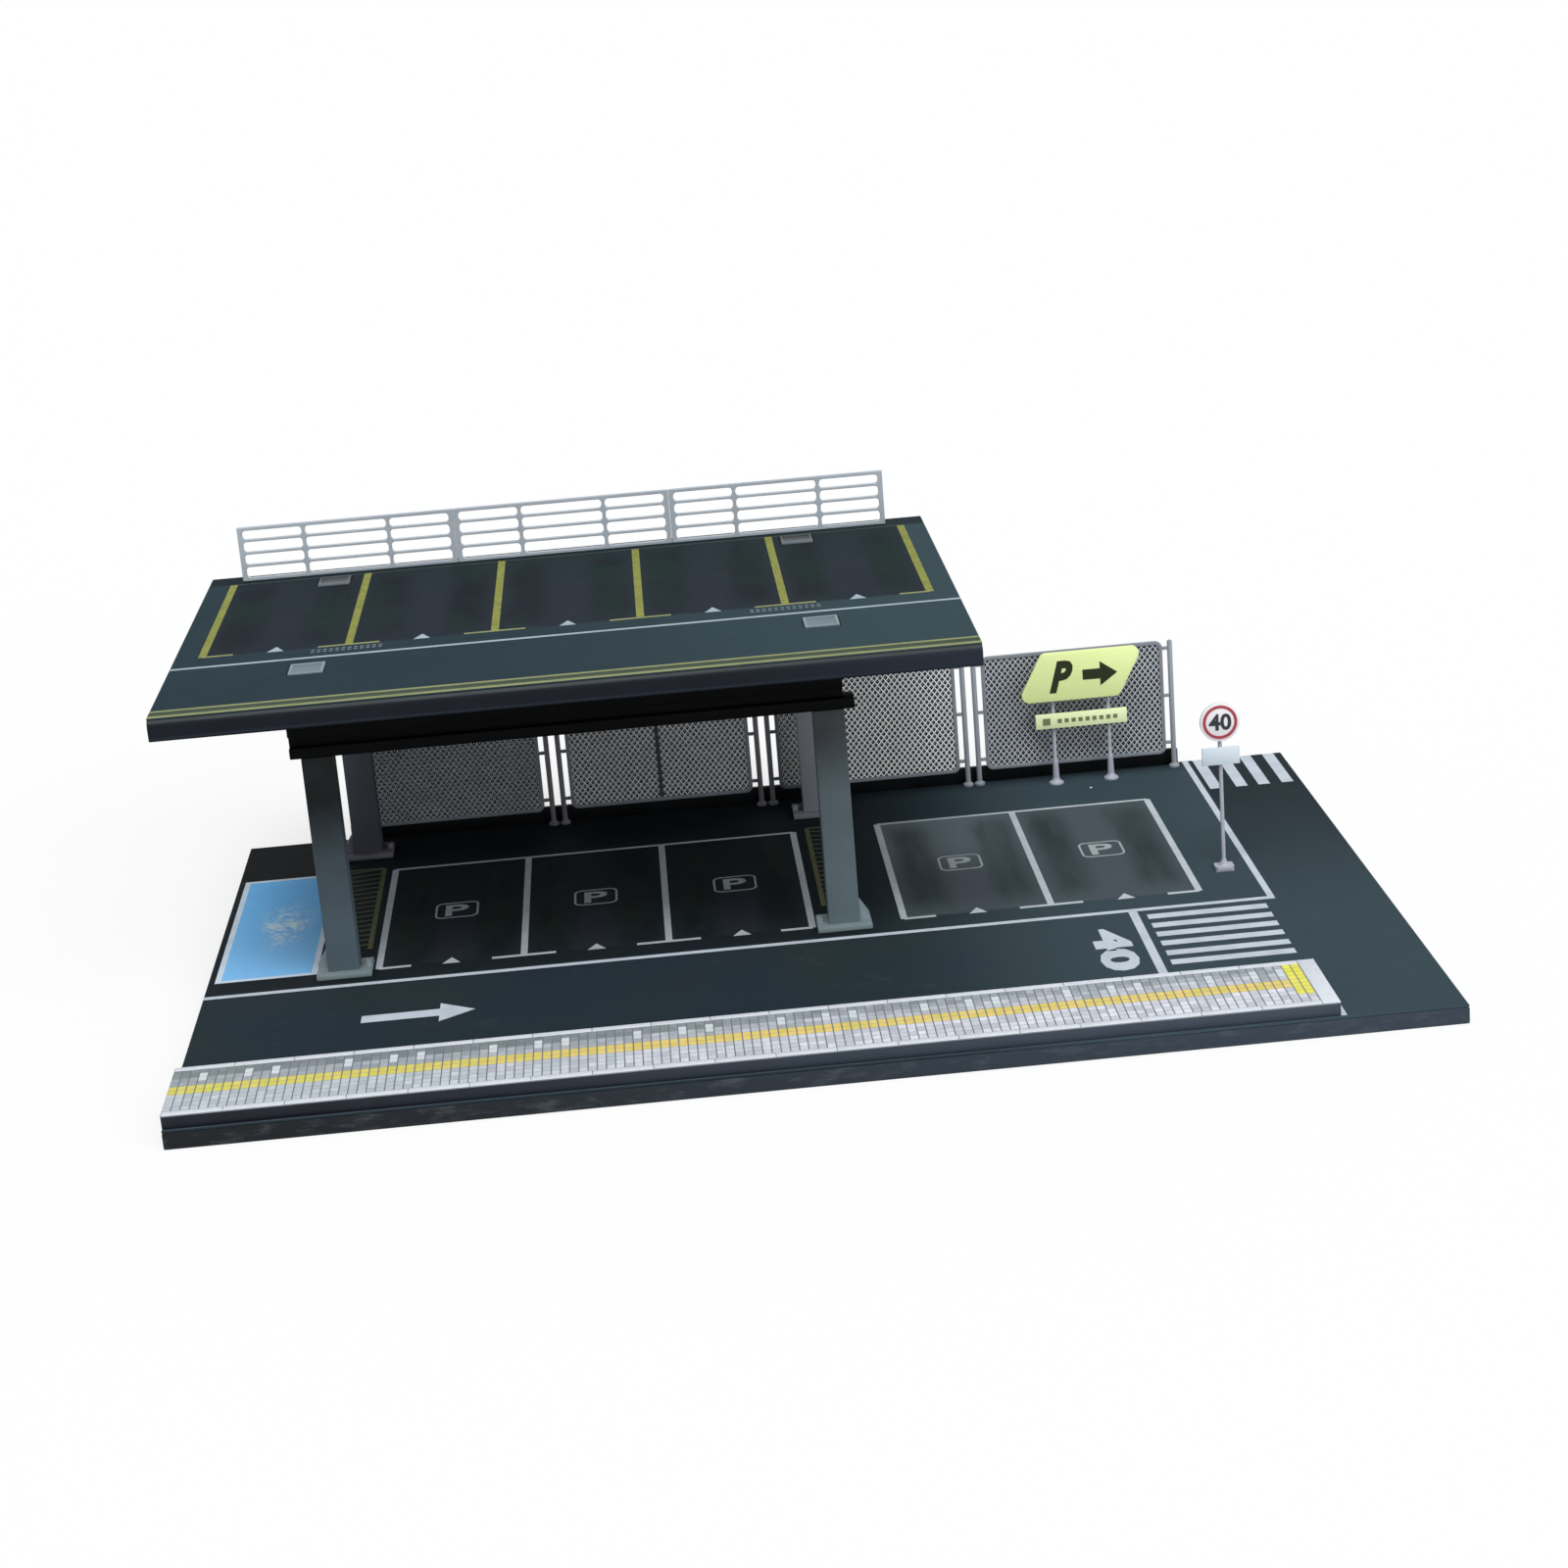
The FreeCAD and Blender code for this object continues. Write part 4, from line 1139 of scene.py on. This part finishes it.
@dataclass
class Deck:
    """The lift-off deck with its printed road and bays."""

    first_line: float = -143.0
    pitch: float = 37.1
    bays: int = 5
    bay_front: float = 12.0
    bay_back: float = 88.8
    bay_line: float = 2.0
    back_line: float = 0.6
    bar_y: float = 12.2
    bar: float = 1.2
    bar_reach: float = 7.8
    lift: float = 0.01
    lane_line: Point = (2.4, 1.4)
    edge_lines: tuple[Point, ...] = ((-35.5, 1.3), (-40.2, 1.7))
    verge: Point = (-40.9, -34.9)
    triangle: tuple[Point, ...] = ((-2.1, 11.4), (2.1, 11.4), (0.0, 16.0))
    tick_lines: tuple[int, ...] = (1, 4)
    tick_rows: Point = (7.4, 9.3)
    tick_pitch: float = 1.55
    tick_size: Point = (0.95, 0.75)
    ticks: int = 12
    places: list[float] = field(init=False)
    level: float = field(init=False)
    ends: Point = field(init=False)

    def __post_init__(self) -> None:
        """Find the print's level and ends, and the bay lines' places."""
        low, high = extent("deck_sheet")
        self.level, self.ends = high.z, (low.x, high.x)
        self.places = [self.first_line + index * self.pitch for index in range(self.bays + 1)]

    def build(self) -> None:
        """Build the slab, its film and the marks."""
        bottom, top = (corner.z for corner in extent("deck_slab"))
        # The deck's edge: black at the bottom, its own navy above and lighter towards the right, with
        # painted highlights: a light line along the lower lip and a lighter band under the top edge.
        bands = (("Z", bottom + 0.3, bottom + 0.6, "#1f242d"), ("Z", bottom + 0.9, bottom + 1.4, "#14181f"),
                 ("X", -20.0, 60.0, "#232933"), ("Z", top - 1.1, top - 0.4, "#3f4546"))
        edge = Moulded("deck_black_plastic", Slot.DECK, "#0a0b0d", light="#242a33", cloud=20.0,
                       cloud_share=0.15, specular=0.08, bands=bands)
        dress("deck_slab", "deck_body", edge, Body.DECK, 0.002)
        film = Asphalt("deck_asphalt", Slot.DECK_PRINT, "#2b3a43", patch="#27373d", right="#384a50",
                       grit="#4d6068", bay="#232a31", bay_right="#232b31", tyre="#171b22", moss="#1b2a26",
                       middle="#2a2d39", tyre_share=0.8, bay_gap=(200.0, 200.0), painted_light_share=0.0,
                       bay_starts=(self.first_line, self.first_line),
                       bay_pitches=(self.pitch, self.pitch), bay_depth=(12.0, 88.6),
                       bay_ends=(self.first_line, self.places[-1]), right_from=-90.0, right_to=60.0,
                       rear=(88.0, 90.5), rear_shift=0.0, rear_share=0.7, rear_colour="#161b1f",
                       shade_share=0.0)
        dress("deck_sheet", "deck_print", film, Body.DECK)
        self._edges()
        self._lane()

    def _edges(self) -> None:
        """Paint the bay lines, their bars, the edge lines and the mossy verge."""
        yellow, olive, verge, z = Mould(), Mould(), Mould(), self.level
        left, right = self.ends
        yellow.lines([(x, self.bay_front, x, self.bay_back, self.bay_line, 0.0) for x in self.places], z)
        yellow.piece("deck_yellow_lines", DECK_YELLOW, body=Body.DECK)
        olive.lines([(left, y, right, y, width, 0.0) for y, width in self.edge_lines], z)
        olive.bars(self.places, self.bar_y, self.bar_reach, self.bar, z + self.lift)
        olive.piece("deck_olive_lines", DECK_OLIVE, body=Body.DECK)
        verge.slab(rectangle(left, self.verge[0], right, self.verge[1]), z - 2 * self.lift)
        verge.line((self.places[0], self.bay_back), (self.places[-1], self.bay_back), self.back_line,
                   z - self.lift)
        moss = LinePaint("deck_moss", Slot.DECK_PRINT, "#3d4c3d", worn="#2b3832", wear=0.6)
        verge.piece("deck_verge", moss, body=Body.DECK)

    def _lane(self) -> None:
        """Paint the white lane line, the triangles and the rows of ticks."""
        paint, marks, z = Mould(), Mould(), self.level
        y, width = self.lane_line
        paint.line((self.ends[0], y), (self.ends[1], y), width, z)
        for left, right in zip(self.places, self.places[1:]):
            paint.slab([((left + right) / 2 + off, deep) for off, deep in self.triangle], z)
        paint.piece("deck_white_lines", DECK_WHITE, body=Body.DECK)
        long, wide = self.tick_size
        for line in self.tick_lines:
            start = self.places[line] - self.tick_pitch * self.ticks / 2
            for y in self.tick_rows:
                starts = (start + tick * self.tick_pitch for tick in range(self.ticks))
                marks.lines([(x, y, x + long, y, wide, 0.0) for x in starts], z)
        tick = LinePaint("deck_tick", Slot.DECK_PRINT, "#7d8c92", worn="#4d5a60", wear=0.6)
        marks.piece("deck_ticks", tick, body=Body.DECK)


@dataclass
class GuardRail:
    """One panel of the deck's guard rail: a thin plate with rows of windows whose corners are cut."""

    number: int
    bar: float = 0.95
    slat: float = 0.7
    slats: tuple[float, ...] = (4.3, 7.85, 11.4)
    end_post: float = 1.3
    mid_post: float = 0.95
    mid_posts: tuple[float, ...] = (18.2, 41.6)
    cut: Point = (0.75, 0.8)
    fillet: float = 0.36
    edge: float = 0.14

    def build(self) -> None:
        """Build the panel."""
        low, high = extent(f"guard_rail_{self.number}")
        wide, tall = high.x - low.x, high.z - low.z
        uprights = self._bars(wide, self.end_post, self.mid_posts, self.mid_post)
        levels = self._bars(tall, self.bar, self.slats, self.slat)
        rail = Mould()
        for left, right in zip(uprights, uprights[1:]):
            for under, over in zip(levels, levels[1:]):
                self._window(rail, (left[0], under[0], right[0], over[0]),
                             (left[2], under[2], right[1], over[1]))
        bmesh.ops.remove_doubles(rail.bm, verts=rail.bm.verts, dist=0.001)
        rail.thicken(list(rail.bm.faces), low.y - high.y)
        finish = Moulded("rail_grey_plastic", Slot.RAIL, "#a6afb8", light="#c0c8cf", roughness=0.4)
        rail.put(Matrix.Translation(low) @ UPRIGHT).eased(self.edge, 1, sharp=60).piece(
            f"rail_panel_{self.number}", finish, body=Body.DECK, stands_for=f"guard_rail_{self.number}")

    @staticmethod
    def _bars(length: float, end: float, middles: Sequence[float], width: float) -> list[Spot]:
        """Lay out the bars along one side.

        Args:
            length: The side's length.
            end: The end bars' width.
            middles: The middles of the bars between them.
            width: Those bars' width.

        Returns:
            Each bar's middle, near edge and far edge.
        """
        bars = [(0.0, 0.0, end)]
        bars += [(middle, middle - width / 2, middle + width / 2) for middle in middles]
        return bars + [(length, length - end, length)]

    def _window(self, rail: Mould, cell: Sequence[float], hole: Sequence[float]) -> None:
        """Add the plate of one cell round its window.

        Args:
            rail: The plate in the making.
            cell: The cell's left, low, right and high sides.
            hole: The window's sides, in the same order.
        """
        outer = [rail.bm.verts.new((*spot, 0.0)) for spot in rectangle(*cell)]
        corners = []
        for index, (x, z) in enumerate(rectangle(*hole)):
            to_x, to_z = (1 if index in (0, 3) else -1), (1 if index < 2 else -1)
            on_side = (x, z + to_z * self.cut[1])
            on_level = (x + to_x * self.cut[0], z)
            bend = (x + to_x * self.cut[0] * self.fillet, z + to_z * self.cut[1] * self.fillet)
            path = [on_side, bend, on_level] if index in (0, 2) else [on_level, bend, on_side]
            corners.append([rail.bm.verts.new((*spot, 0.0)) for spot in path])
        for index in range(4):
            first, bend, last = corners[index]
            rail.bm.faces.new((outer[index], last, bend))
            rail.bm.faces.new((outer[index], bend, first))
            after = (index + 1) % 4
            rail.bm.faces.new((outer[index], outer[after], corners[after][0], last))


@dataclass
class Fence:
    """The mesh fence: posts, round-cornered frames, clips, diamond nets and one middle bar."""

    columns: int = 31
    rows: int = 15
    open_face: float = 0.73
    open_middle: float = 0.1
    # One strand colour per panel, each made lighter or darker for the light on that panel: painted light
    # and shade.
    strands: tuple[str, ...] = ("afb5bf", "e6e8ee", "fcfdff", "b9bfc7")
    thick: float = 0.8
    overlap: float = 0.35

    def build(self) -> None:
        """Build every panel."""
        # Posts and clips: darker towards the left, a painted shade under the deck.
        grey = Moulded("fence_grey_shaded_plastic", Slot.FENCE, "#66656e", light="#a4a8b0", roughness=0.45,
                       bands=(("X", -20.0, 60.0, "#8a9098"),))
        dark = Moulded("fence_frame_grey", Slot.FENCE, "#80868e", light="#9ba0a8", roughness=0.45)
        # lit and shaded copies of the strand plastic, one per panel
        strands = [Moulded(f"fence_strand_{shade}", Slot.FENCE, f"#{shade}", light="#dde1e7",
                           roughness=0.45) for shade in self.strands]
        # Near black inside the holes: painted shade on the holes' walls.
        hollow = Moulded("fence_hole_painted_shade", Slot.FENCE, "#0b0c0f", light="#181a1e", roughness=0.7,
                         specular=0.05)
        shadowed = Moulded("fence_bar_grey", Slot.FENCE, "#3a3c42", light="#50525a")
        for number, strand in enumerate(strands, 1):
            for side in ("left", "right"):
                dress(f"fence_post_{number}_{side}", f"post_{number}_{side}", grey, thin=0.001, smooth=50)
            dress(f"fence_frame_{number}", f"frame_{number}", dark, thin=0.001, smooth=40, width=0.15,
                  sharp=60)
            dress(f"fence_clips_{number}", f"clips_{number}", grey, width=0.12, steps=1)
            self._net(number, strand, hollow)
        dress("fence_mid_bar", "mid_bar", shadowed, width=0.08, steps=1)

    def _net(self, number: int, strand: Finish, hollow: Finish) -> None:
        """Build one net as a lattice of pointed holes with narrow waists, cut to its frame.

        Args:
            number: The panel's number.
            strand: The strands' finish.
            hollow: The painted-shade finish inside the holes.
        """
        low, high = extent(f"fence_net_{number}")
        wide, tall = high.x - low.x, high.z - low.z
        step_x, step_z = wide / self.columns, tall / self.rows
        edge_x, edge_z = wide / 2 + self.overlap, tall / 2 + self.overlap
        inner = step_x * step_z / math.hypot(step_x, step_z) / 2
        net = Mould()
        for level, depth in ((0.0, -self.thick / 2), (-self.thick, self.thick / 2)):
            holes = self._lattice(net, (step_x, step_z), (edge_x, edge_z), level)
            bmesh.ops.inset_individual(net.bm, faces=holes, thickness=inner * (1 - self.open_face),
                                       use_even_offset=True)
            rims = set(net.bm.faces)
            bmesh.ops.inset_individual(net.bm, faces=holes, depth=depth, use_even_offset=True,
                                       thickness=inner * (self.open_face - self.open_middle))
            for face in set(net.bm.faces) - rims:
                face.material_index = 1
            bmesh.ops.delete(net.bm, geom=holes, context="FACES_ONLY")
        bmesh.ops.remove_doubles(net.bm, verts=net.bm.verts, dist=0.001)
        for normal, reach in (((1, 0, 0), edge_x), ((-1, 0, 0), edge_x), ((0, 1, 0), edge_z),
                              ((0, -1, 0), edge_z)):
            bmesh.ops.bisect_plane(net.bm, geom=[*net.bm.verts, *net.bm.edges, *net.bm.faces],
                                   plane_co=Vector(normal) * reach, plane_no=normal, clear_outer=True)
        bmesh.ops.bridge_loops(net.bm, edges=[edge for edge in net.bm.edges if edge.is_boundary])
        bmesh.ops.recalc_face_normals(net.bm, faces=net.bm.faces)
        middle = (low + high) / 2 - Vector((0.0, self.thick / 2, 0.0))
        net.put(Matrix.Translation(middle) @ UPRIGHT).piece(
            f"net_{number}", strand, hollow, stands_for=f"fence_net_{number}", smooth=20)

    def _lattice(self, net: Mould, step: Point, edge: Point, level: float) -> list:
        """Add a sheet of diamonds that covers a panel.

        Args:
            net: The net in the making.
            step: A diamond's width and height.
            edge: The panel's half width and height.
            level: The sheet's level.

        Returns:
            The sheet's faces.
        """
        count, unit = 2 * (self.columns + self.rows), math.sqrt(2.0)
        turn = (Matrix.Diagonal((step[0] / unit, step[1] / unit, 1.0, 1.0))
                @ Matrix.Rotation(math.pi / 4, 4, "Z"))
        verts = bmesh.ops.create_grid(net.bm, x_segments=count, y_segments=count, size=count / 2,
                                      matrix=Matrix.Translation((0.0, 0.0, level)) @ turn)["verts"]
        faces = {face for vert in verts for face in vert.link_faces}
        far = [face for face in faces
               if abs(face.calc_center_median().x) > edge[0] + step[0]
               or abs(face.calc_center_median().y) > edge[1] + step[1]]
        kept = list(faces - set(far))
        bmesh.ops.delete(net.bm, geom=far, context="FACES")
        return kept


@dataclass
class ParkingSign:
    """The slanted yellow board, its small plate and their poles.

    The plate's square and first dot are given by their left side, width and half height.
    """

    design: float = 0.08
    sunk: float = 0.02
    letter: Point = (7.0, 9.4)
    letter_left: float = 5.6
    arrow_right: float = 0.6
    arrow: tuple[Any, ...] = ((0.0, 0.0), 5.0, 10.0, 1.5, 3.6)
    square: Spot = (2.0, 2.2, 1.0)
    dots: int = 9
    dot: Spot = (6.3, 1.2, 0.6)
    dot_pitch: float = 2.0

    def build(self) -> None:
        """Build the sign with a plain parking design."""
        yellow = Moulded("sign_yellow_paint", Slot.YELLOW, "#eefbad", light="#f6ffc4", roughness=0.35)
        pale = Moulded("sign_pale_paint", Slot.YELLOW, "#eefac2", light="#faffdc", roughness=0.4)
        body = Body.PARKING_SIGN
        dress("parking_sign_board", "sign_board", yellow, body, 0.001, 40, width=0.18, sharp=60)
        dress("parking_sign_plate", "sign_plate", pale, body, width=0.15)
        for side in ("left", "right"):
            dress(f"parking_sign_pole_{side}", f"sign_pole_{side}", POLE_GREY, body, 0.001, 50)
        self._board_design()
        self._plate_design()

    def _board_design(self) -> None:
        """Put a parking letter and an arrow on the board."""
        ink = Moulded("sign_dark_ink", Slot.YELLOW, "#23280f", light="#31371b", roughness=0.45)
        low, high = extent("parking_sign_board")
        middle, front, level = (low.x + high.x) / 2, low.y + self.sunk, (low.z + high.z) / 2
        face, pointer = Mould(), Mould()
        face.letters("P", self.letter, (middle - self.letter_left, front, level), self.design, UPRIGHT,
                     weight=0.05, lean=0.35)
        face.piece("sign_letter", ink, body=Body.PARKING_SIGN)
        pointer.slab(arrow(*self.arrow), 0.0, self.design)
        pointer.put(Matrix.Translation((middle + self.arrow_right, front, level)) @ UPRIGHT)
        pointer.piece("sign_arrow", ink, body=Body.PARKING_SIGN)

    def _plate_design(self) -> None:
        """Put a square and a row of plain dots on the small plate."""
        low, high = extent("parking_sign_plate")
        face, level = Mould(), (low.z + high.z) / 2
        first, dot_wide, dot_half = self.dot
        dots = ((first + index * self.dot_pitch, dot_wide, dot_half) for index in range(self.dots))
        for off, wide, half in (self.square, *dots):
            face.block((low.x + off, low.y - self.design, level - half),
                       (low.x + off + wide, low.y + self.sunk, level + half))
        soft = Moulded("sign_soft_ink", Slot.YELLOW, "#727a54", light="#8a926c", roughness=0.45)
        face.piece("plate_dots", soft, body=Body.PARKING_SIGN)


@dataclass
class SpeedSign:
    """The round sign with its plate and pole."""

    ring: float = 0.78
    ring_reach: float = 4.5
    ring_rise: float = 0.08
    figures: Point = (5.9, 4.5)
    figures_rise: float = 0.1
    sunk: float = 0.02

    def build(self) -> None:
        """Build the sign."""
        white = Moulded("sign_white_paint", Slot.WHITE, "#e9e6ea", light="#f4f1f4", roughness=0.35)
        tag = Moulded("tag_white_paint", Slot.WHITE, "#cfdce6", light="#e2ebf2", roughness=0.35)
        red = Moulded("sign_red_paint", Slot.WHITE, "#a23b48", light="#b8606a", roughness=0.35)
        ink = Moulded("figure_dark_ink", Slot.WHITE, "#2a2f35", light="#3b4046", roughness=0.4)
        body = Body.SPEED_SIGN
        dress("speed_sign_disc", "disc", white, body, 0.001, 40, width=0.12, sharp=60)
        dress("speed_sign_plate", "tag", tag, body, width=0.15)
        dress("speed_sign_pole", "disc_pole", POLE_GREY, body, 0.001, 50, width=0.15, steps=1, longer=0.6,
              sharp=60)
        low, high = extent("speed_sign_disc")
        x, y, z = (low.x + high.x) / 2, low.y, (low.z + high.z) / 2
        band, figures = Mould(), Mould()
        rim = bmesh.ops.create_circle(band.bm, cap_ends=True, segments=64, radius=self.ring_reach)["verts"]
        band.band(rim[0].link_faces[0], self.ring, self.ring_rise)
        band.put(Matrix.Translation((x, y, z)) @ UPRIGHT).piece("red_band", red, body=body)
        figures.letters("40", self.figures, (x, y + self.sunk, z), self.figures_rise, UPRIGHT, weight=0.03)
        figures.piece("figures", ink, body=body)


@dataclass
class Studio:
    """The floor, the lamps, the world and the camera."""

    place: Spot = (-0.0283, -0.7450, 0.2797)
    yaw: float = -2.24
    pitch: float = -17.74
    roll: float = 4.66
    lens: float = 70.36
    sensor: float = 36.0
    clip: Point = (0.01, 100.0)
    floor_reach: float = 12.0
    sky: float = 0.28
    sky_colour: Colour = (0.95, 0.98, 1.0, 1.0)
    floor_glow: float = 0.72
    lamps: tuple[tuple[str, float, float, Spot], ...] = (
        ("key", 1.9, 30.0, (28.0, 0.0, -10.0)), ("fill", 1.2, 50.0, (60.0, 0.0, 35.0)))

    def build(self) -> None:
        """Build the studio."""
        self._floor()
        self._world()
        self._lamps()
        self._camera()

    def _floor(self) -> None:
        """Lay the pale floor, white where the camera or a gloss sees it."""
        mould = Mould()
        bmesh.ops.create_grid(mould.bm, x_segments=1, y_segments=1, size=self.floor_reach)
        mesh = bpy.data.meshes.new("floor")
        mould.bm.to_mesh(mesh)
        mould.bm.free()
        graph = Graph(bpy.data.materials.new("floor_white"))
        pale = graph.mix(graph.noise(300, 2) * 0.1, "#ffffff", "#fbfbfb")
        graph.blend("ShaderNodeOutputMaterial", graph.seen() * self.floor_glow,
                    graph.node("ShaderNodeBsdfDiffuse", None, {"Color": pale}),
                    graph.node("ShaderNodeEmission", None, {"Strength": 1.0}))
        mesh.materials.append(graph.owner)
        floor = bpy.data.objects.new("floor", mesh)
        bpy.context.scene.collection.objects.link(floor)

    def _world(self) -> None:
        """Give the world a soft light, white where the camera or a gloss sees it."""
        graph = Graph(bpy.data.worlds.new("studio"))
        bpy.context.scene.world = graph.owner
        soft, white = (graph.node("ShaderNodeBackground", None, {"Color": colour, "Strength": strength})
                       for colour, strength in ((self.sky_colour, self.sky), (tint("#ffffff"), 1.0)))
        graph.blend("ShaderNodeOutputWorld", graph.seen(), soft, white)

    def _lamps(self) -> None:
        """Hang a broad lamp over the front and a soft one low on the right."""
        for name, power, spread, turn in self.lamps:
            lamp = bpy.data.lights.new(name, "SUN")
            lamp.energy, lamp.angle = power, math.radians(spread)
            holder = bpy.data.objects.new(name, lamp)
            holder.rotation_euler = [math.radians(part) for part in turn]
            bpy.context.scene.collection.objects.link(holder)

    def _camera(self) -> None:
        """Set the camera at the photograph's viewpoint."""
        yaw, pitch, roll = (math.radians(part) for part in (self.yaw, self.pitch, self.roll))
        ahead = Vector((-math.sin(yaw) * math.cos(pitch), math.cos(yaw) * math.cos(pitch), math.sin(pitch)))
        right = Vector((math.cos(yaw), math.sin(yaw), 0.0))
        above = right.cross(ahead)
        side = math.cos(roll) * right - math.sin(roll) * above
        top = math.sin(roll) * right + math.cos(roll) * above
        lens = bpy.data.cameras.new("camera")
        lens.lens, lens.sensor_width = self.lens, self.sensor
        lens.clip_start, lens.clip_end = self.clip
        holder = bpy.data.objects.new("camera", lens)
        turn = Matrix((side, top, -ahead)).transposed().to_4x4()
        holder.matrix_world = Matrix.Translation(self.place) @ turn
        bpy.context.scene.collection.objects.link(holder)
        bpy.context.scene.camera = holder


def main() -> None:
    """Build the model and the studio."""
    logging.basicConfig(level=logging.INFO, format="%(message)s")
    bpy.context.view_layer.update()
    bpy.context.scene.view_settings.view_transform = "Standard"
    parts: list[Any] = [Studio(), Lot(), Pavement(), SteelFrame(), Deck()]
    parts += [GuardRail(number) for number in (1, 2, 3)]
    parts += [Fence(), ParkingSign(), SpeedSign()]
    for part in parts:
        LOG.info("building %s", type(part).__name__)
        part.build()


if __name__ == "__main__":
    main()
